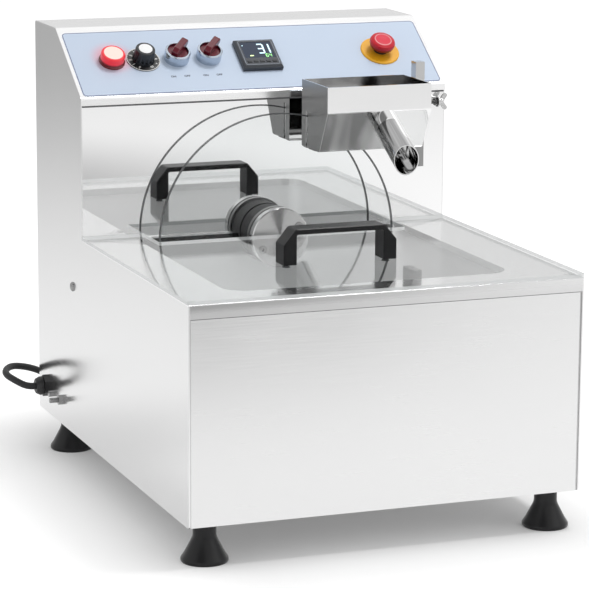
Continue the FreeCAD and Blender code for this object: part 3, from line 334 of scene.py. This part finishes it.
def clear_sheet(name, tint, bend, face, edge_color, edge, body, rim=None):
    """Clear plastic sheet: straight through on its faces, solid in edge_color at its cut edges
    and, given rim, in a band inside that radius; on the wheel these are painted shade of the edge.
    """
    sheet = Finish(name, edge_color, roughness=0.12)
    haze = sheet.noise(60.0, 3.0)
    through = sheet.node("ShaderNodeBsdfTransparent", {}, {"Color": (*tint, 1.0)})
    gloss = sheet.node("ShaderNodeBsdfAnisotropic", {}, {"Color": (1, 1, 1, 1), "Roughness": 0.03})
    outside = 1 - sheet.node("ShaderNodeNewGeometry", out="Backfacing")
    shine = sheet.node("ShaderNodeFresnel", {}, {"IOR": bend}) * outside
    clear = sheet.node("ShaderNodeMixShader", {}, {0: shine, 1: through, 2: gloss})
    cut = 1 - sheet.facing(face).size().step(0.3, 0.7)
    solid = Val(sheet, sheet.shader.outputs[0])
    # painted shade on the wheel: a dark band just inside the disc's rim
    if rim:
        cut = (cut + sheet.around(face, AXIS).step(rim - 0.4 * MM, rim)).clamp()
    share = cut * edge + haze * body
    mixed = sheet.node("ShaderNodeMixShader", {}, {0: share, 1: clear, 2: solid})
    sheet.tree.links.new(mixed.socket, sheet.output.inputs["Surface"])
    return sheet


def paint(finish, *names):
    """Gives a finish to CAD nodes or to new pieces."""
    for name in names:
        piece = nodes[name] if isinstance(name, str) else name
        piece.data.materials.clear()
        piece.data.materials.append(finish.material)


def ride_with(piece, node):
    """Makes a new piece move with the body of a CAD node."""
    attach(piece, body_of(nodes[node])[0])


def only(piece):
    """Selects one piece alone."""
    bpy.ops.object.select_all(action="DESELECT")
    piece.select_set(True)
    bpy.context.view_layer.objects.active = piece


def edit_all():
    """Goes into edit mode with everything selected."""
    bpy.ops.object.mode_set(mode="EDIT")
    bpy.ops.mesh.select_all(action="SELECT")


def shade_smooth(piece, angle=30.0):
    """Smooth shading up to an edge angle."""
    only(piece)
    bpy.ops.object.shade_smooth_by_angle(angle=radians(angle))
    piece.select_set(False)


def settle(piece, name, place=None):
    """Names a finished piece and puts its place into its mesh."""
    piece.name = name
    if place is not None:
        piece.matrix_world = place @ piece.matrix_world
    only(piece)
    bpy.ops.object.transform_apply(location=True, rotation=True, scale=True)
    edit_all()
    bpy.ops.mesh.remove_doubles(threshold=1e-6)
    bpy.ops.mesh.normals_make_consistent(inside=False)
    bpy.ops.object.mode_set(mode="OBJECT")
    piece.select_set(False)
    return piece


def together(name, pieces):
    """Joins small pieces into one."""
    bpy.ops.object.select_all(action="DESELECT")
    for piece in pieces:
        piece.select_set(True)
    bpy.context.view_layer.objects.active = pieces[0]
    bpy.ops.object.join()
    pieces[0].name = name
    return pieces[0]


def lettering(words, size, place):
    """Raised print of a few characters, its size in millimetres."""
    bpy.ops.object.text_add()
    text = bpy.context.object
    text.data.body = words
    text.data.align_x = "CENTER"
    text.data.align_y = "CENTER"
    text.data.size = size * MM
    text.data.extrude = 0.06 * MM
    text.data.offset = 0.03 * size * MM
    bpy.ops.object.convert(target="MESH")
    return settle(bpy.context.object, "print_" + words.lower(), place)


def bar(width, height, place, thick=0.12, round_off=0.0):
    """Small bar with its sizes in millimetres."""
    bpy.ops.mesh.primitive_cube_add(size=1)
    piece = bpy.context.object
    piece.scale = (width * MM, height * MM, thick * MM)
    bpy.ops.object.transform_apply(scale=True)
    if round_off:
        edit_all()
        bpy.ops.mesh.bevel(offset=round_off * MM, segments=3, affect="EDGES")
        bpy.ops.object.mode_set(mode="OBJECT")
    return settle(piece, "bar", place)


def thicken(piece, thick):
    """Gives a flat mesh its thickness in millimetres."""
    wall = piece.modifiers.new("thickness", "SOLIDIFY")
    wall.thickness = thick * MM
    wall.offset = 1.0
    bpy.ops.object.modifier_apply(modifier="thickness")


def outline(name, width, height, corner, place):
    """Thin printed line round a rounded rectangle."""
    bpy.ops.mesh.primitive_plane_add(size=1)
    piece = bpy.context.object
    piece.scale = (width * MM, height * MM, 1)
    bpy.ops.object.transform_apply(scale=True)
    edit_all()
    bpy.ops.mesh.bevel(offset=corner * MM, segments=8, affect="VERTICES")
    bpy.ops.mesh.select_all(action="SELECT")
    bpy.ops.mesh.inset(thickness=0.7 * MM, depth=0)
    bpy.ops.mesh.delete(type="FACE")
    bpy.ops.object.mode_set(mode="OBJECT")
    thicken(piece, 0.08)
    return settle(piece, name, place)


def band(name, outer, inner, low, high, place):
    """Flat ring between two radii and two heights, opened from a disc."""
    bpy.ops.mesh.primitive_circle_add(vertices=72, radius=outer * MM, fill_type="NGON",
                                      location=(0, 0, low * MM))
    piece = bpy.context.object
    edit_all()
    bpy.ops.mesh.inset(thickness=(outer - inner) * MM, depth=0)
    bpy.ops.mesh.delete(type="FACE")
    bpy.ops.object.mode_set(mode="OBJECT")
    thicken(piece, high - low)
    return settle(piece, name, place)


def tank_finish():
    """Polished deck, duller in the basin, with painted shade on the rear wall and on the front
    lip.
    """
    basin = metal("tank_steel")
    across, back, up = basin.along(ACROSS), basin.along(BACK), basin.along(UP)
    edge_low, edge_high = DECK_Z - 16 * MM, DECK_Z - 2 * MM
    rear_start, rear_end = 82 * MM, 89 * MM
    band_low, band_high = 246 * MM, 254 * MM
    lip_face = -276.4 * MM
    half_width = 0.22
    deep = 1 - up.step(edge_low, edge_high)
    # painted shade: a dark band on the rear wall, and the front lip darker on the left than on the
    # right
    rear = back.step(rear_start, rear_end) * up.step(band_low, band_high) * (up < edge_high)
    lip = back < lip_face
    to_right = across.step(-half_width, half_width)
    shaded = rear * 0.83 + lip * (0.36 - to_right * 0.16)
    basin.set(roughness=0.1 + deep * 0.42 + basin.noise(*HAZE) * 0.03)
    return basin.set(base_color=basin.grey(0.94 - shaded + basin.noise(9.0) * 0.04))


def post_finish():
    """Upright bar, darker towards its lower end with a painted shadow."""
    post = brushed_steel("post_steel", 0.56, rough=0.2, grain="z")
    lines = post.noise(*BRUSHED, (1, 1, 0.02))
    # painted shadow on the bar's lower end
    low = 1 - post.along(UP).step(385 * MM, 410 * MM)
    return post.set(base_color=post.grey(0.52 - low * 0.26 + lines * 0.08))


def dress_cabinet():
    """Sheets of the cabinet, its upright bar, nuts, screws and shaft."""
    paint(brushed_steel("cabinet_steel", 0.8, rough=0.24),
          "front_panel", "rear_cover", "base_pan")
    paint(brushed_steel("side_steel", 0.84, rough=0.2, grain="y", depth=0.02),
          "side_panel_left", "side_panel_right")
    paint(brushed_steel("top_steel", 0.94, rough=0.18, depth=0.02), "fascia")
    paint(tank_finish(), "tank")
    paint(polished_steel("wall_steel", 0.92, rough=0.02), "back_wall")
    paint(post_finish(), "hopper_post")
    paint(moulded("foot_core", (0.018, 0.018, 0.02), rough=0.42, coat=0.2), "feet")
    paint(polished_steel("zinc", 0.6, rough=0.22), "foot_nuts", "potentiometer",
          "wheel_shaft", "shaft_bearings")
    paint(polished_steel("screw_zinc", 0.34, rough=0.25), "panel_screws")
    paint(threaded_steel("stud_zinc", 0.3, rough=0.25), "bonding_stud")


def dress_works():
    """What is inside the cabinet."""
    paint(moulded("heater_silicone", (0.45, 0.12, 0.04), rough=0.5), "heater_mat")
    paint(moulded("board_wool", (0.7, 0.68, 0.6), rough=0.9, grain=0.5, scale=300.0),
          "insulation_board")
    paint(polished_steel("probe_steel", 0.7, rough=0.15), "temperature_probe")
    paint(brushed_steel("cast_alloy", 0.6, rough=0.45, grain="z", depth=0.3),
          "bearing_housing", "gearbox")
    paint(moulded("motor_paint", (0.03, 0.035, 0.04)), "motor")
    paint(moulded("seal_rubber", (0.02, 0.02, 0.02), rough=0.6), "shaft_seal")
    paint(moulded("block_plastic", (0.03, 0.03, 0.035), rough=0.5),
          "contact_blocks", "mains_blocks")
    paint(moulded("board_green", (0.02, 0.12, 0.05)), "control_board")


def hub_finish():
    """Faced cap of the hub with a dark fan of reflection above its middle."""
    cap = turned_steel("hub_steel", 0.66, rough=0.2)
    angle = cap.along(ACROSS, AXIS).math("ARCTAN2", cap.along(UP, AXIS))
    # painted reflection: a dark fan above the cap's middle
    fan = 1 - (angle + 0.12).size().step(0.08, 0.4)
    wear = cap.noise(60.0, 3.0) * 0.08
    return cap.set(base_color=cap.grey(0.6 - fan * 0.34 + wear))


def dress_wheel():
    """Clear disc and its hub."""
    # the disc's dark edge colour and its band at rim are painted shade of the cut edge
    paint(clear_sheet("wheel_plastic", tint=(0.985, 0.99, 0.99), bend=1.16, face=BACK,
                      edge_color=(0.1, 0.104, 0.108), edge=0.8, body=0.01, rim=139.6 * MM),
          "wheel_disc")
    paint(hub_finish(), "hub_cap")
    paint(turned_steel("ring_steel", 0.3, rough=0.3, pitch=0.6, strength=0.15), "hub_clamp_ring")
    paint(polished_steel("screw_steel", 0.5, rough=0.2), "hub_screws")
    paint(moulded("barrel_plastic", (0.016, 0.016, 0.017), rough=0.5, grain=0.02), "hub_barrel")


def dress_lid():
    """Clear cover and its handle."""
    paint(clear_sheet("lid_plastic", tint=(0.99, 0.992, 0.992), bend=1.5, face=UP,
                      edge_color=(0.85, 0.87, 0.87), edge=0.7, body=0.04), "lid")
    handle = moulded("handle_plastic", (0.009, 0.009, 0.01), rough=0.34, coat=0.05, grain=0.02)
    paint(handle.set(specular_ior_level=0.22), "lid_handle")
    paint(polished_steel("lid_screw_steel", 0.6, rough=0.2), "lid_screws")


def hopper_finish():
    """Folded sheet: satin cheeks darkened with painted shade, painted shade inside and a painted
    dark reflection in waves on the slanted front.
    """
    sheet = metal("hopper_steel")
    sheet.bump(sheet.noise(14.0, 1.0), 0.05, 10 * MM)
    x, y, z = sheet.along(ACROSS), sheet.along(BACK), sheet.along(UP)
    # the planes lie just inside the outer faces of the walls
    left, right, front, rear = 35.5 * MM, 159.5 * MM, -4.5 * MM, 74.5 * MM
    fold_z = 420.5 * MM
    within = (x > left) * (x < right) * (y > front) * (y < rear)
    waves = sheet.noise(22.0, 1.0, (1, 0.3, 0.3)) * 60 * MM
    left_part = 1 - (x + waves).step(128 * MM, 150 * MM)
    folds = sheet.noise(50.0, 1.0, (1, 0.2, 0.2)).step(0.42, 0.62)
    # painted reflection: dark waves on the left of the slanted front, below the bend
    slanted = (z < fold_z) * left_part * (0.62 - folds * 0.3)
    # painted shade inside above the bend, added to the painted reflection
    painted_shade_and_reflection = within * ((z > fold_z) * 0.2 + slanted)
    # painted shade: cheeks facing across are darker, less so inside; their roughness is their real
    # satin
    cheek_shade_and_satin = sheet.facing(ACROSS).size().step(0.9, 0.98) * (1 - within * 0.8)
    sheet.set(base_color=sheet.grey((0.88 - cheek_shade_and_satin * 0.56) * (1 - painted_shade_and_reflection)))
    return sheet.set(roughness=0.04 + cheek_shade_and_satin * 0.28 + sheet.noise(*HAZE) * 0.02)


def spout_finish():
    """Drawn tube, darker and streaked outside than in its bore: painted shade, a painted lit side
    and painted streaks of reflection.
    """
    tube = polished_steel("spout_steel", 0.8, rough=0.06)
    axis_point, axis = (106 * MM, 1.53 * MM, 408.73 * MM), (0, -0.8829, -0.4696)
    across = tube.along(ACROSS, axis_point)
    painted_streaks = tube.noise(300.0, 1.0, (1, 0.02, 0.02))
    # painted light: the side towards +x is lit, and the streaks are painted reflection
    lit = across.step(-2 * MM, 8 * MM) * 0.5 + (painted_streaks - 0.4) * 0.7
    wall_radius = 14.5 * MM
    outside = tube.around(axis, axis_point) > wall_radius
    return tube.set(base_color=tube.grey(0.75 - outside * (0.45 - lit)))


def dress_hopper():
    """Scraper hopper with its blades, spout tube and wing screw."""
    paint(hopper_finish(), "hopper", "scraper_blades")
    paint(spout_finish(), "spout_tube")
    # painted shade on the wing screw's threaded part, up to its wings
    paint(threaded_steel("wing_steel", 0.75, rough=0.2, bright_from=206.5 * MM), "wing_screw")


def overlay_finish():
    """Blue film with a painted red glow of the lamp's light beside the lamp."""
    film = moulded("overlay_film", (0.58, 0.68, 0.83), rough=0.34, coat=0.1, grain=0.01)
    glow = on_panel(LAMP[0] + 3, LAMP[1] + 6).translation
    # painted light: the lamp's red glow on the film round it
    near = 1 - film.around(SLOPE_OUT, glow).step(8 * MM, 30 * MM)
    sky = film.blend(film.noise(12.0), (0.52, 0.61, 0.745), (0.55, 0.64, 0.775))
    return film.set(base_color=film.blend(near * 0.75, sky, (0.9, 0.3, 0.36)))


def lamp_finish():
    """Red lens with a lit cream face and a dark foot."""
    centre = on_panel(*LAMP).translation
    lens = Finish("lamp_red", (0.8, 0.03, 0.03), coat_weight=0.5, coat_roughness=0.06)
    radius = lens.around(SLOPE_OUT, centre)
    height = lens.along(SLOPE_OUT, centre)
    inside_rim = 1 - radius.step(10.6 * MM, 11.2 * MM)
    face = inside_rim * height.step(11.5 * MM, 12.5 * MM)
    foot = 1 - height.step(3.5 * MM, 7.0 * MM)
    red = lens.blend(foot, (0.55, 0.008, 0.015), (0.14, 0.003, 0.006))
    lens.set(base_color=lens.blend(face, red, (0.75, 0.52, 0.48)))
    lens.set(roughness=0.25 + lens.noise(240.0) * 0.1)
    glow = lens.blend(foot, (1.0, 0.01, 0.04), (0.02, 0.0, 0.0))
    return lens.set(emission_color=lens.blend(face, glow, (1.0, 0.75, 0.62)),
                    emission_strength=0.36)


def bezel_finish():
    """Bluish chrome of the selectors' bezels."""
    bezel = polished_steel("bezel_chrome", 0.5, rough=0.2)
    worn = bezel.noise(90.0, 3.0)
    return bezel.set(base_color=bezel.blend(worn, (0.4, 0.46, 0.54), (0.62, 0.67, 0.74)))


def stop_finish():
    """Red mushroom head: painted shade on its sides, a painted lighter middle and a painted
    highlight ring on its face.
    """
    centre = on_panel(*STOP).translation
    head = moulded("head_red", (0.6, 0.008, 0.025), rough=0.3, coat=0.2, grain=0.01)
    head.set(specular_ior_level=0.3)
    radius = head.around(SLOPE_OUT, centre)
    # painted shade: the head is darker on its sides and lighter on top
    top = head.along(SLOPE_OUT, centre).step(11 * MM, 16.5 * MM)
    red = head.blend(top, (0.24, 0.002, 0.008), (0.55, 0.006, 0.02))
    # painted highlight: a pale ring round the middle of the face
    ring_start, ring_end = radius.step(8.6 * MM, 9.2 * MM), radius.step(9.8 * MM, 10.4 * MM)
    ring = ring_start * (1 - ring_end) * top
    # painted light: a lighter middle
    middle = 1 - radius.step(8.6 * MM, 9.4 * MM)
    red = head.blend(middle, red, (0.7, 0.03, 0.06))
    return head.set(base_color=head.blend(ring * 0.6, red, (0.9, 0.5, 0.52)))


def dress_controls():
    """Everything on the sloped panel that is a CAD node."""
    paint(overlay_finish(), "panel_overlay")
    paint(lamp_finish(), "pilot_lamp")
    paint(moulded("dial_black", (0.012, 0.012, 0.013)), "dial_plate")
    paint(moulded("knob_black", (0.007, 0.009, 0.013), rough=0.32, coat=0.1), "speed_knob")
    paint(moulded("knob_cap_white", (0.9, 0.9, 0.9), rough=0.3, coat=0.2, grain=0.01), "knob_cap")
    paint(bezel_finish(), "selector_bezels")
    paint(moulded("lever_maroon", (0.13, 0.008, 0.018), rough=0.22, coat=0.4, grain=0.01),
          "motor_selector", "heat_selector")
    paint(moulded("case_grey", (0.035, 0.04, 0.05), rough=0.35), "controller_case")
    paint(moulded("window_navy", (0.002, 0.016, 0.05), rough=0.08, coat=0.4, grain=0.005),
          "controller_window")
    keys = ["controller_button_%d" % (i + 1) for i in range(5)]
    paint(moulded("key_rubber", (0.012, 0.014, 0.018), rough=0.35), *keys)
    paint(moulded("collar_yellow", (0.85, 0.42, 0.01), coat=0.1), "estop_collar")
    paint(moulded("stem_black", (0.02, 0.02, 0.02)), "estop_stem")
    paint(stop_finish(), "estop_head")


def print_selector_words():
    """ON and OFF under each selector."""
    words = []
    for x, along in SELECTORS:
        for word, aside in (("ON", -11.3), ("OFF", 5.0)):
            words.append(lettering(word, 4.0, on_panel(x + aside, along - 30, WORD_HEIGHT)))
    words = together("selector_words", words)
    paint(moulded("ink_dark", (0.012, 0.014, 0.05)), words)
    ride_with(words, "panel_overlay")


def print_dial_scale():
    """Rim, marks and numbers 0 to 10 round the speed knob."""
    centre = on_panel(*DIAL)
    scale = [band("rim", 19.5, 18.7, 1.38, 1.5, centre)]
    for step in range(31):
        turn = Matrix.Rotation(radians(150 - step * 10), 4, "Z")
        numbered = step % 3 == 0
        width, height, radius = (0.5, 1.6, 17.7) if numbered else (0.28, 1.0, 18.0)
        out = Matrix.Translation((0, radius * MM, SCALE_HEIGHT * MM))
        scale.append(bar(width, height, centre @ turn @ out))
        if numbered:
            spot = Matrix.Translation((0, 14.6 * MM, SCALE_HEIGHT * MM))
            scale.append(lettering(str(step // 3), 4.4, centre @ turn @ spot))
    scale = together("dial_scale", scale)
    paint(moulded("scale_white", (0.82, 0.82, 0.8)), scale)
    ride_with(scale, "dial_plate")


def print_panel():
    """Printed line, words and scale of the panel."""
    line = outline("overlay_line", 431.4, 106.4, 4.7, on_panel(*PANEL_MIDDLE, LINE_HEIGHT))
    paint(moulded("ink_navy", (0.05, 0.055, 0.17)), line)
    ride_with(line, "panel_overlay")
    print_selector_words()
    print_dial_scale()


def segments(digit, width, height, stroke, place):
    """Bars of a seven-segment figure."""
    half = height / 2
    spots = {"a": (0, height, 1), "g": (0, half, 1), "d": (0, 0, 1),
             "f": (-1, 0.75 * height, 0), "b": (1, 0.75 * height, 0),
             "e": (-1, 0.25 * height, 0), "c": (1, 0.25 * height, 0)}
    lit = {"1": "bc", "3": "abgcd", "4": "fgbc", "6": "afgedc"}[digit]
    bars = []
    for name in lit:
        side, up, flat = spots[name]
        move = Matrix.Translation((side * width / 2 * MM, up * MM, 0))
        size = (width - 0.3, stroke) if flat else (stroke, half - 0.3)
        bars.append(bar(*size, place @ move, 0.1))
    return bars


def light_display():
    """Figures and marks of the temperature controller."""
    x, along = CONTROLLER

    def on_display(right, up):
        """Place on the window, from the controller's middle."""
        return on_panel(x + right, along + up, DISPLAY_HEIGHT)

    large_size, small_size = (6.6, 15.0, 1.7), (2.4, 5.2, 0.8)
    large = segments("3", *large_size, on_display(4.2, -1.0))
    large += segments("1", *large_size, on_display(11.2, -1.0))
    large.append(bar(1.4, 1.0, on_display(-16.5, 12.5)))
    large = together("display_large", large)
    paint(glowing("display_white", (0.62, 0.9, 1.0), 0.9), large)
    small = segments("6", *small_size, on_display(9.0, -7.6))
    small += segments("4", *small_size, on_display(13.0, -7.6))
    small = together("display_small", small)
    paint(glowing("display_green", (0.35, 0.85, 0.3), 0.8), small)
    mark = bar(4.2, 1.6, on_display(-9.5, -5.0))
    mark.name = "display_mark"
    paint(glowing("display_lime", (0.8, 1.0, 0.45), 0.9), mark)
    rim = outline("controller_line", 41.5, 41.5, 3.0, on_panel(x, along, CASE_HEIGHT))
    paint(moulded("line_grey", (0.22, 0.25, 0.3), rough=0.35), rim)
    for piece in (large, small, mark, rim):
        ride_with(piece, "controller_case")


def strip(name, sizes, place, node, finish, round_off=0.3):
    """Slim strip with rounded edges, seated beside a CAD node."""
    width, depth, height = sizes
    piece = bar(width, depth, Matrix.Translation(Vector(place) * MM), height, round_off)
    piece.name = name
    paint(finish, piece)
    ride_with(piece, node)


def shadow_strips_and_folds():
    """Dark strips of painted shadow under the panel and the lip, and the folds beside the front
    panel, toned darker with painted shade.
    """
    # painted shadow: dark grey strips where shade falls under the panel's flange and under the lip
    grey = moulded("seal_grey", (0.13, 0.13, 0.135), rough=0.45)
    strip("panel_seal", (437, 1.2, 1.8), (0, 94.3, 426.4), "fascia", grey)
    strip("lip_seal", (434, 0.8, 1.0), (0, -276.2, 260.5), "tank", grey, round_off=0.2)
    # painted shade: the rounded folds are toned darker than the cabinet steel
    fold = brushed_steel("fold_steel", 0.6, rough=0.3, grain="z")
    for side, x in (("left", -217.75), ("right", 217.75)):
        strip("front_fold_" + side, (1.4, 1.5, 217), (x, -275.4, 152), "front_panel", fold)


def cone_foot(x, y, profile):
    """One foot, drawn up from its bottom face."""
    bpy.ops.mesh.primitive_circle_add(vertices=64, radius=profile[0][0] * MM, fill_type="NGON",
                                      location=(x * MM, y * MM, 0))
    foot = bpy.context.object
    edit_all()
    for (r0, z0), (r1, z1) in zip(profile, profile[1:]):
        rise = {"value": (0, 0, (z1 - z0) * MM)}
        bpy.ops.mesh.extrude_region_move(TRANSFORM_OT_translate=rise)
        bpy.ops.transform.resize(value=(r1 / r0, r1 / r0, 1))
    bpy.ops.object.mode_set(mode="OBJECT")
    return settle(foot, "foot")


def cone_feet():
    """Moulded feet: a rim, a concave flare and a round neck under the cabinet."""
    # radius and height, in millimetres
    profile = [(24.0, 0.0), (25.0, 1.2), (25.0, 3.6), (24.4, 4.8), (21.3, 9.5), (17.4, 17.0),
               (14.2, 23.2), (12.8, 26.5), (12.4, 29.0), (12.4, 43.0)]
    places = ((-194, -251), (194, -251), (-194, 233), (194, 233))
    feet = together("cone_feet", [cone_foot(x, y, profile) for x, y in places])
    shade_smooth(feet, 40)
    rubber = moulded("foot_rubber", (0.008, 0.008, 0.009), rough=0.32, coat=0.1, grain=0.02)
    paint(rubber.set(specular_ior_level=0.25), feet)
    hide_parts("feet")
    ride_with(feet, "feet")


def ramp(value, start, end):
    """0 at start, 1 at end and held beyond them."""
    return max(0.0, min(1.0, (value - start) / (end - start)))


def coil_route():
    """Points of the coil: inner and outer laps that climb, flattened beside the plug."""
    centre = Vector((-50, 336, 0))
    radii = [44, 36, 36, 44, 44, 36, 36]
    heights = [4, 4, 12, 12, 20, 20, 20]
    lap_start, thickness = -105, 8
    points = []
    for turn in range(-100, 1759, 20):
        lap, at = divmod(turn - lap_start, 360)
        near_plug = ramp(at, 30, 60) * ramp(at, 150, 120)
        shift = ramp(at, 290, 350)
        radius = radii[lap] + (radii[lap + 1] - radii[lap]) * shift
        height = heights[lap] + (heights[lap + 1] - heights[lap]) * shift
        if lap == 0:
            radius += thickness * near_plug
        if lap in (3, 4):
            height -= thickness * near_plug
        a = radians(turn)
        points.append(tuple(centre + Vector((radius * cos(a), radius * sin(a), height))))
    return points


def dress_lead():
    """Mains lead from its gland to the coil behind the cabinet, and on to its plug."""
    from_gland = [(-235, 243, 76), (-244, 243, 76), (-257, 243.5, 83), (-268.5, 261, 90),
                  (-255, 284.5, 93), (-235, 288, 90), (-214, 292, 82), (-196, 297, 68),
                  (-182, 302, 50), (-167, 305, 33), (-150, 306, 17), (-130, 304, 7),
                  (-106, 300, 4.4), (-84, 292, 4.1)]
    to_plug = [(-22, 313.5, 20), (-16.5, 320.5, 19.8), (-10.5, 325.2, 19.2), (-4, 326, 18.5)]
    route = from_gland + coil_route() + to_plug
    cable = bpy.data.curves.new("mains_lead", "CURVE")
    cable.dimensions = "3D"
    line = cable.splines.new("NURBS")
    line.points.add(len(route) - 1)
    for point, spot in zip(line.points, route):
        point.co = (*(c * MM for c in spot), 1.0)
    line.order_u = 3
    line.use_endpoint_u = True
    line.resolution_u = 6
    cable.bevel_depth = 4 * MM
    cable.bevel_resolution = 5
    lead = bpy.data.objects.new("mains_lead", cable)
    bpy.context.collection.objects.link(lead)
    paint(moulded("lead_rubber", (0.02, 0.02, 0.021), rough=0.5), lead, "cord_lead", "cord_coil")
    paint(moulded("plug_rubber", (0.016, 0.016, 0.017)), "cable_gland", "mains_plug")
    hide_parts("cord_lead", "cord_coil")
    ride_with(lead, "cord_lead")


def floor_finish():
    """Pale floor: white to the camera round the machine, with a painted shadow where its glow
    fades near the machine, and darker places to the polished sheets.
    """
    pale = Finish("floor_pale", (0.8, 0.8, 0.8), roughness=0.9)
    mirrored = pale.ray("Glossy")
    across, back = pale.along(ACROSS), pale.along(BACK)

    def spot(x, y, inner, outer):
        """1 near a place on the floor, fading out."""
        return 1 - pale.length(pale.from_point((x, y, 0))).step(inner, outer)

    behind = (1 - spot(0.2, -0.2, 0.9, 4.5)) * back.step(-0.2, 0.5)
    for_hopper = spot(-1.0, -2.5, 0.5, 0.9)
    for_front = spot(0.0, -1.75, 0.2, 1.0)
    darker = for_hopper * 0.85 + for_front * 0.55 + behind * 0.5
    pale.set(base_color=pale.grey(0.8 - mirrored * darker.clamp() * 0.75))
    # painted shadow: the floor glows only away from the machine, darkening it beside and before
    # the machine over the real shadow
    beside = across.step(0.16, 0.4) + (across * -1.0).step(0.14, 0.32)
    before = (back.size() - 0.278).step(-0.1, 0.24)
    outside_painted_shadow = beside + before - beside * before
    away = 1 - spot(0, 0, 0.6, 2.5)
    shown = outside_painted_shadow * 0.44 + away * 0.1
    strength = (1 - mirrored) * shown + mirrored * (1 - darker).clamp() * 0.28
    return pale.set(emission_color=(1, 1, 1, 1),
                    emission_strength=strength * pale.ray("Camera", "Glossy"))


def studio_world():
    """White to the camera, softer on the machine, with dark cards for the polished sheets."""
    world = bpy.data.worlds.new("studio")
    bpy.context.scene.world = world
    world.use_nodes = True
    room = Tree(world.node_tree)
    look = room.node("ShaderNodeTexCoord", out="Generated")
    far_wall = look.dot(BACK).step(0.2, 0.75) * (1 - look.dot(UP).step(0.3, 0.7))
    dark_card = look.dot((-0.37, -0.92, 0.08)).step(0.93, 0.985)
    dark_above = look.dot((-0.35, -0.4, 0.85)).step(0.88, 0.97)
    mirrored = 0.95 - far_wall * 0.2 - dark_card * 0.6 - dark_above * 0.75
    plain_light = 0.64
    seen = room.ray("Camera", "Transmission")
    shiny = room.ray("Glossy")
    unseen = shiny * mirrored + (1 - shiny) * plain_light
    back = world.node_tree.nodes["Background"]
    room.fill(back.inputs["Color"], (1, 1, 1))
    room.fill(back.inputs["Strength"], seen + (1 - seen) * unseen)


def soft_lamp(name, place, size, power):
    """Square lamp that points at the machine."""
    bpy.ops.object.light_add(type="AREA", location=place)
    light = bpy.context.object
    light.name = name
    light.data.size = size
    light.data.energy = power
    aim = Vector((0, 0, 0.3)) - Vector(place)
    light.rotation_euler = aim.to_track_quat("-Z", "Y").to_euler()


def floor_and_light():
    """Pale floor, pale studio and two soft lamps."""
    bpy.ops.mesh.primitive_plane_add(size=60, location=(0, 0, 0))
    floor = bpy.context.object
    floor.name = "floor"
    paint(floor_finish(), floor)
    studio_world()
    soft_lamp("key", (0.8, -0.3, 2.7), size=0.7, power=27)
    soft_lamp("fill", (1.8, -1.8, 1.6), size=1.6, power=4)


def photo_camera():
    """Camera at the photograph's angle."""
    place = Vector((-1.1219, -2.9521, 0.8742))
    azimuth, elevation, roll = radians(-20.79), radians(11.74), radians(0.34)
    look = Vector((-sin(azimuth) * cos(elevation), cos(azimuth) * cos(elevation), -sin(elevation)))
    right = look.cross(UP).normalized()
    up = right.cross(look)
    side = right * cos(roll) + up * sin(roll)
    top = -right * sin(roll) + up * cos(roll)
    bpy.ops.object.camera_add()
    camera = bpy.context.object
    camera.name = "photo_camera"
    camera.data.lens = 176.0
    camera.data.sensor_width = 36.0
    camera.data.clip_end = 100.0
    turned = Matrix((side, top, -look)).transposed().to_4x4()
    camera.matrix_world = Matrix.Translation(place) @ turned
    bpy.context.scene.camera = camera


photo_camera()
floor_and_light()
dress_lead()
dress_cabinet()
dress_works()
dress_wheel()
dress_lid()
dress_hopper()
dress_controls()
print_panel()
light_display()
shadow_strips_and_folds()
cone_feet()
for node in nodes.values():
    shade_smooth(node)

bpy.context.scene.view_settings.view_transform = "Standard"
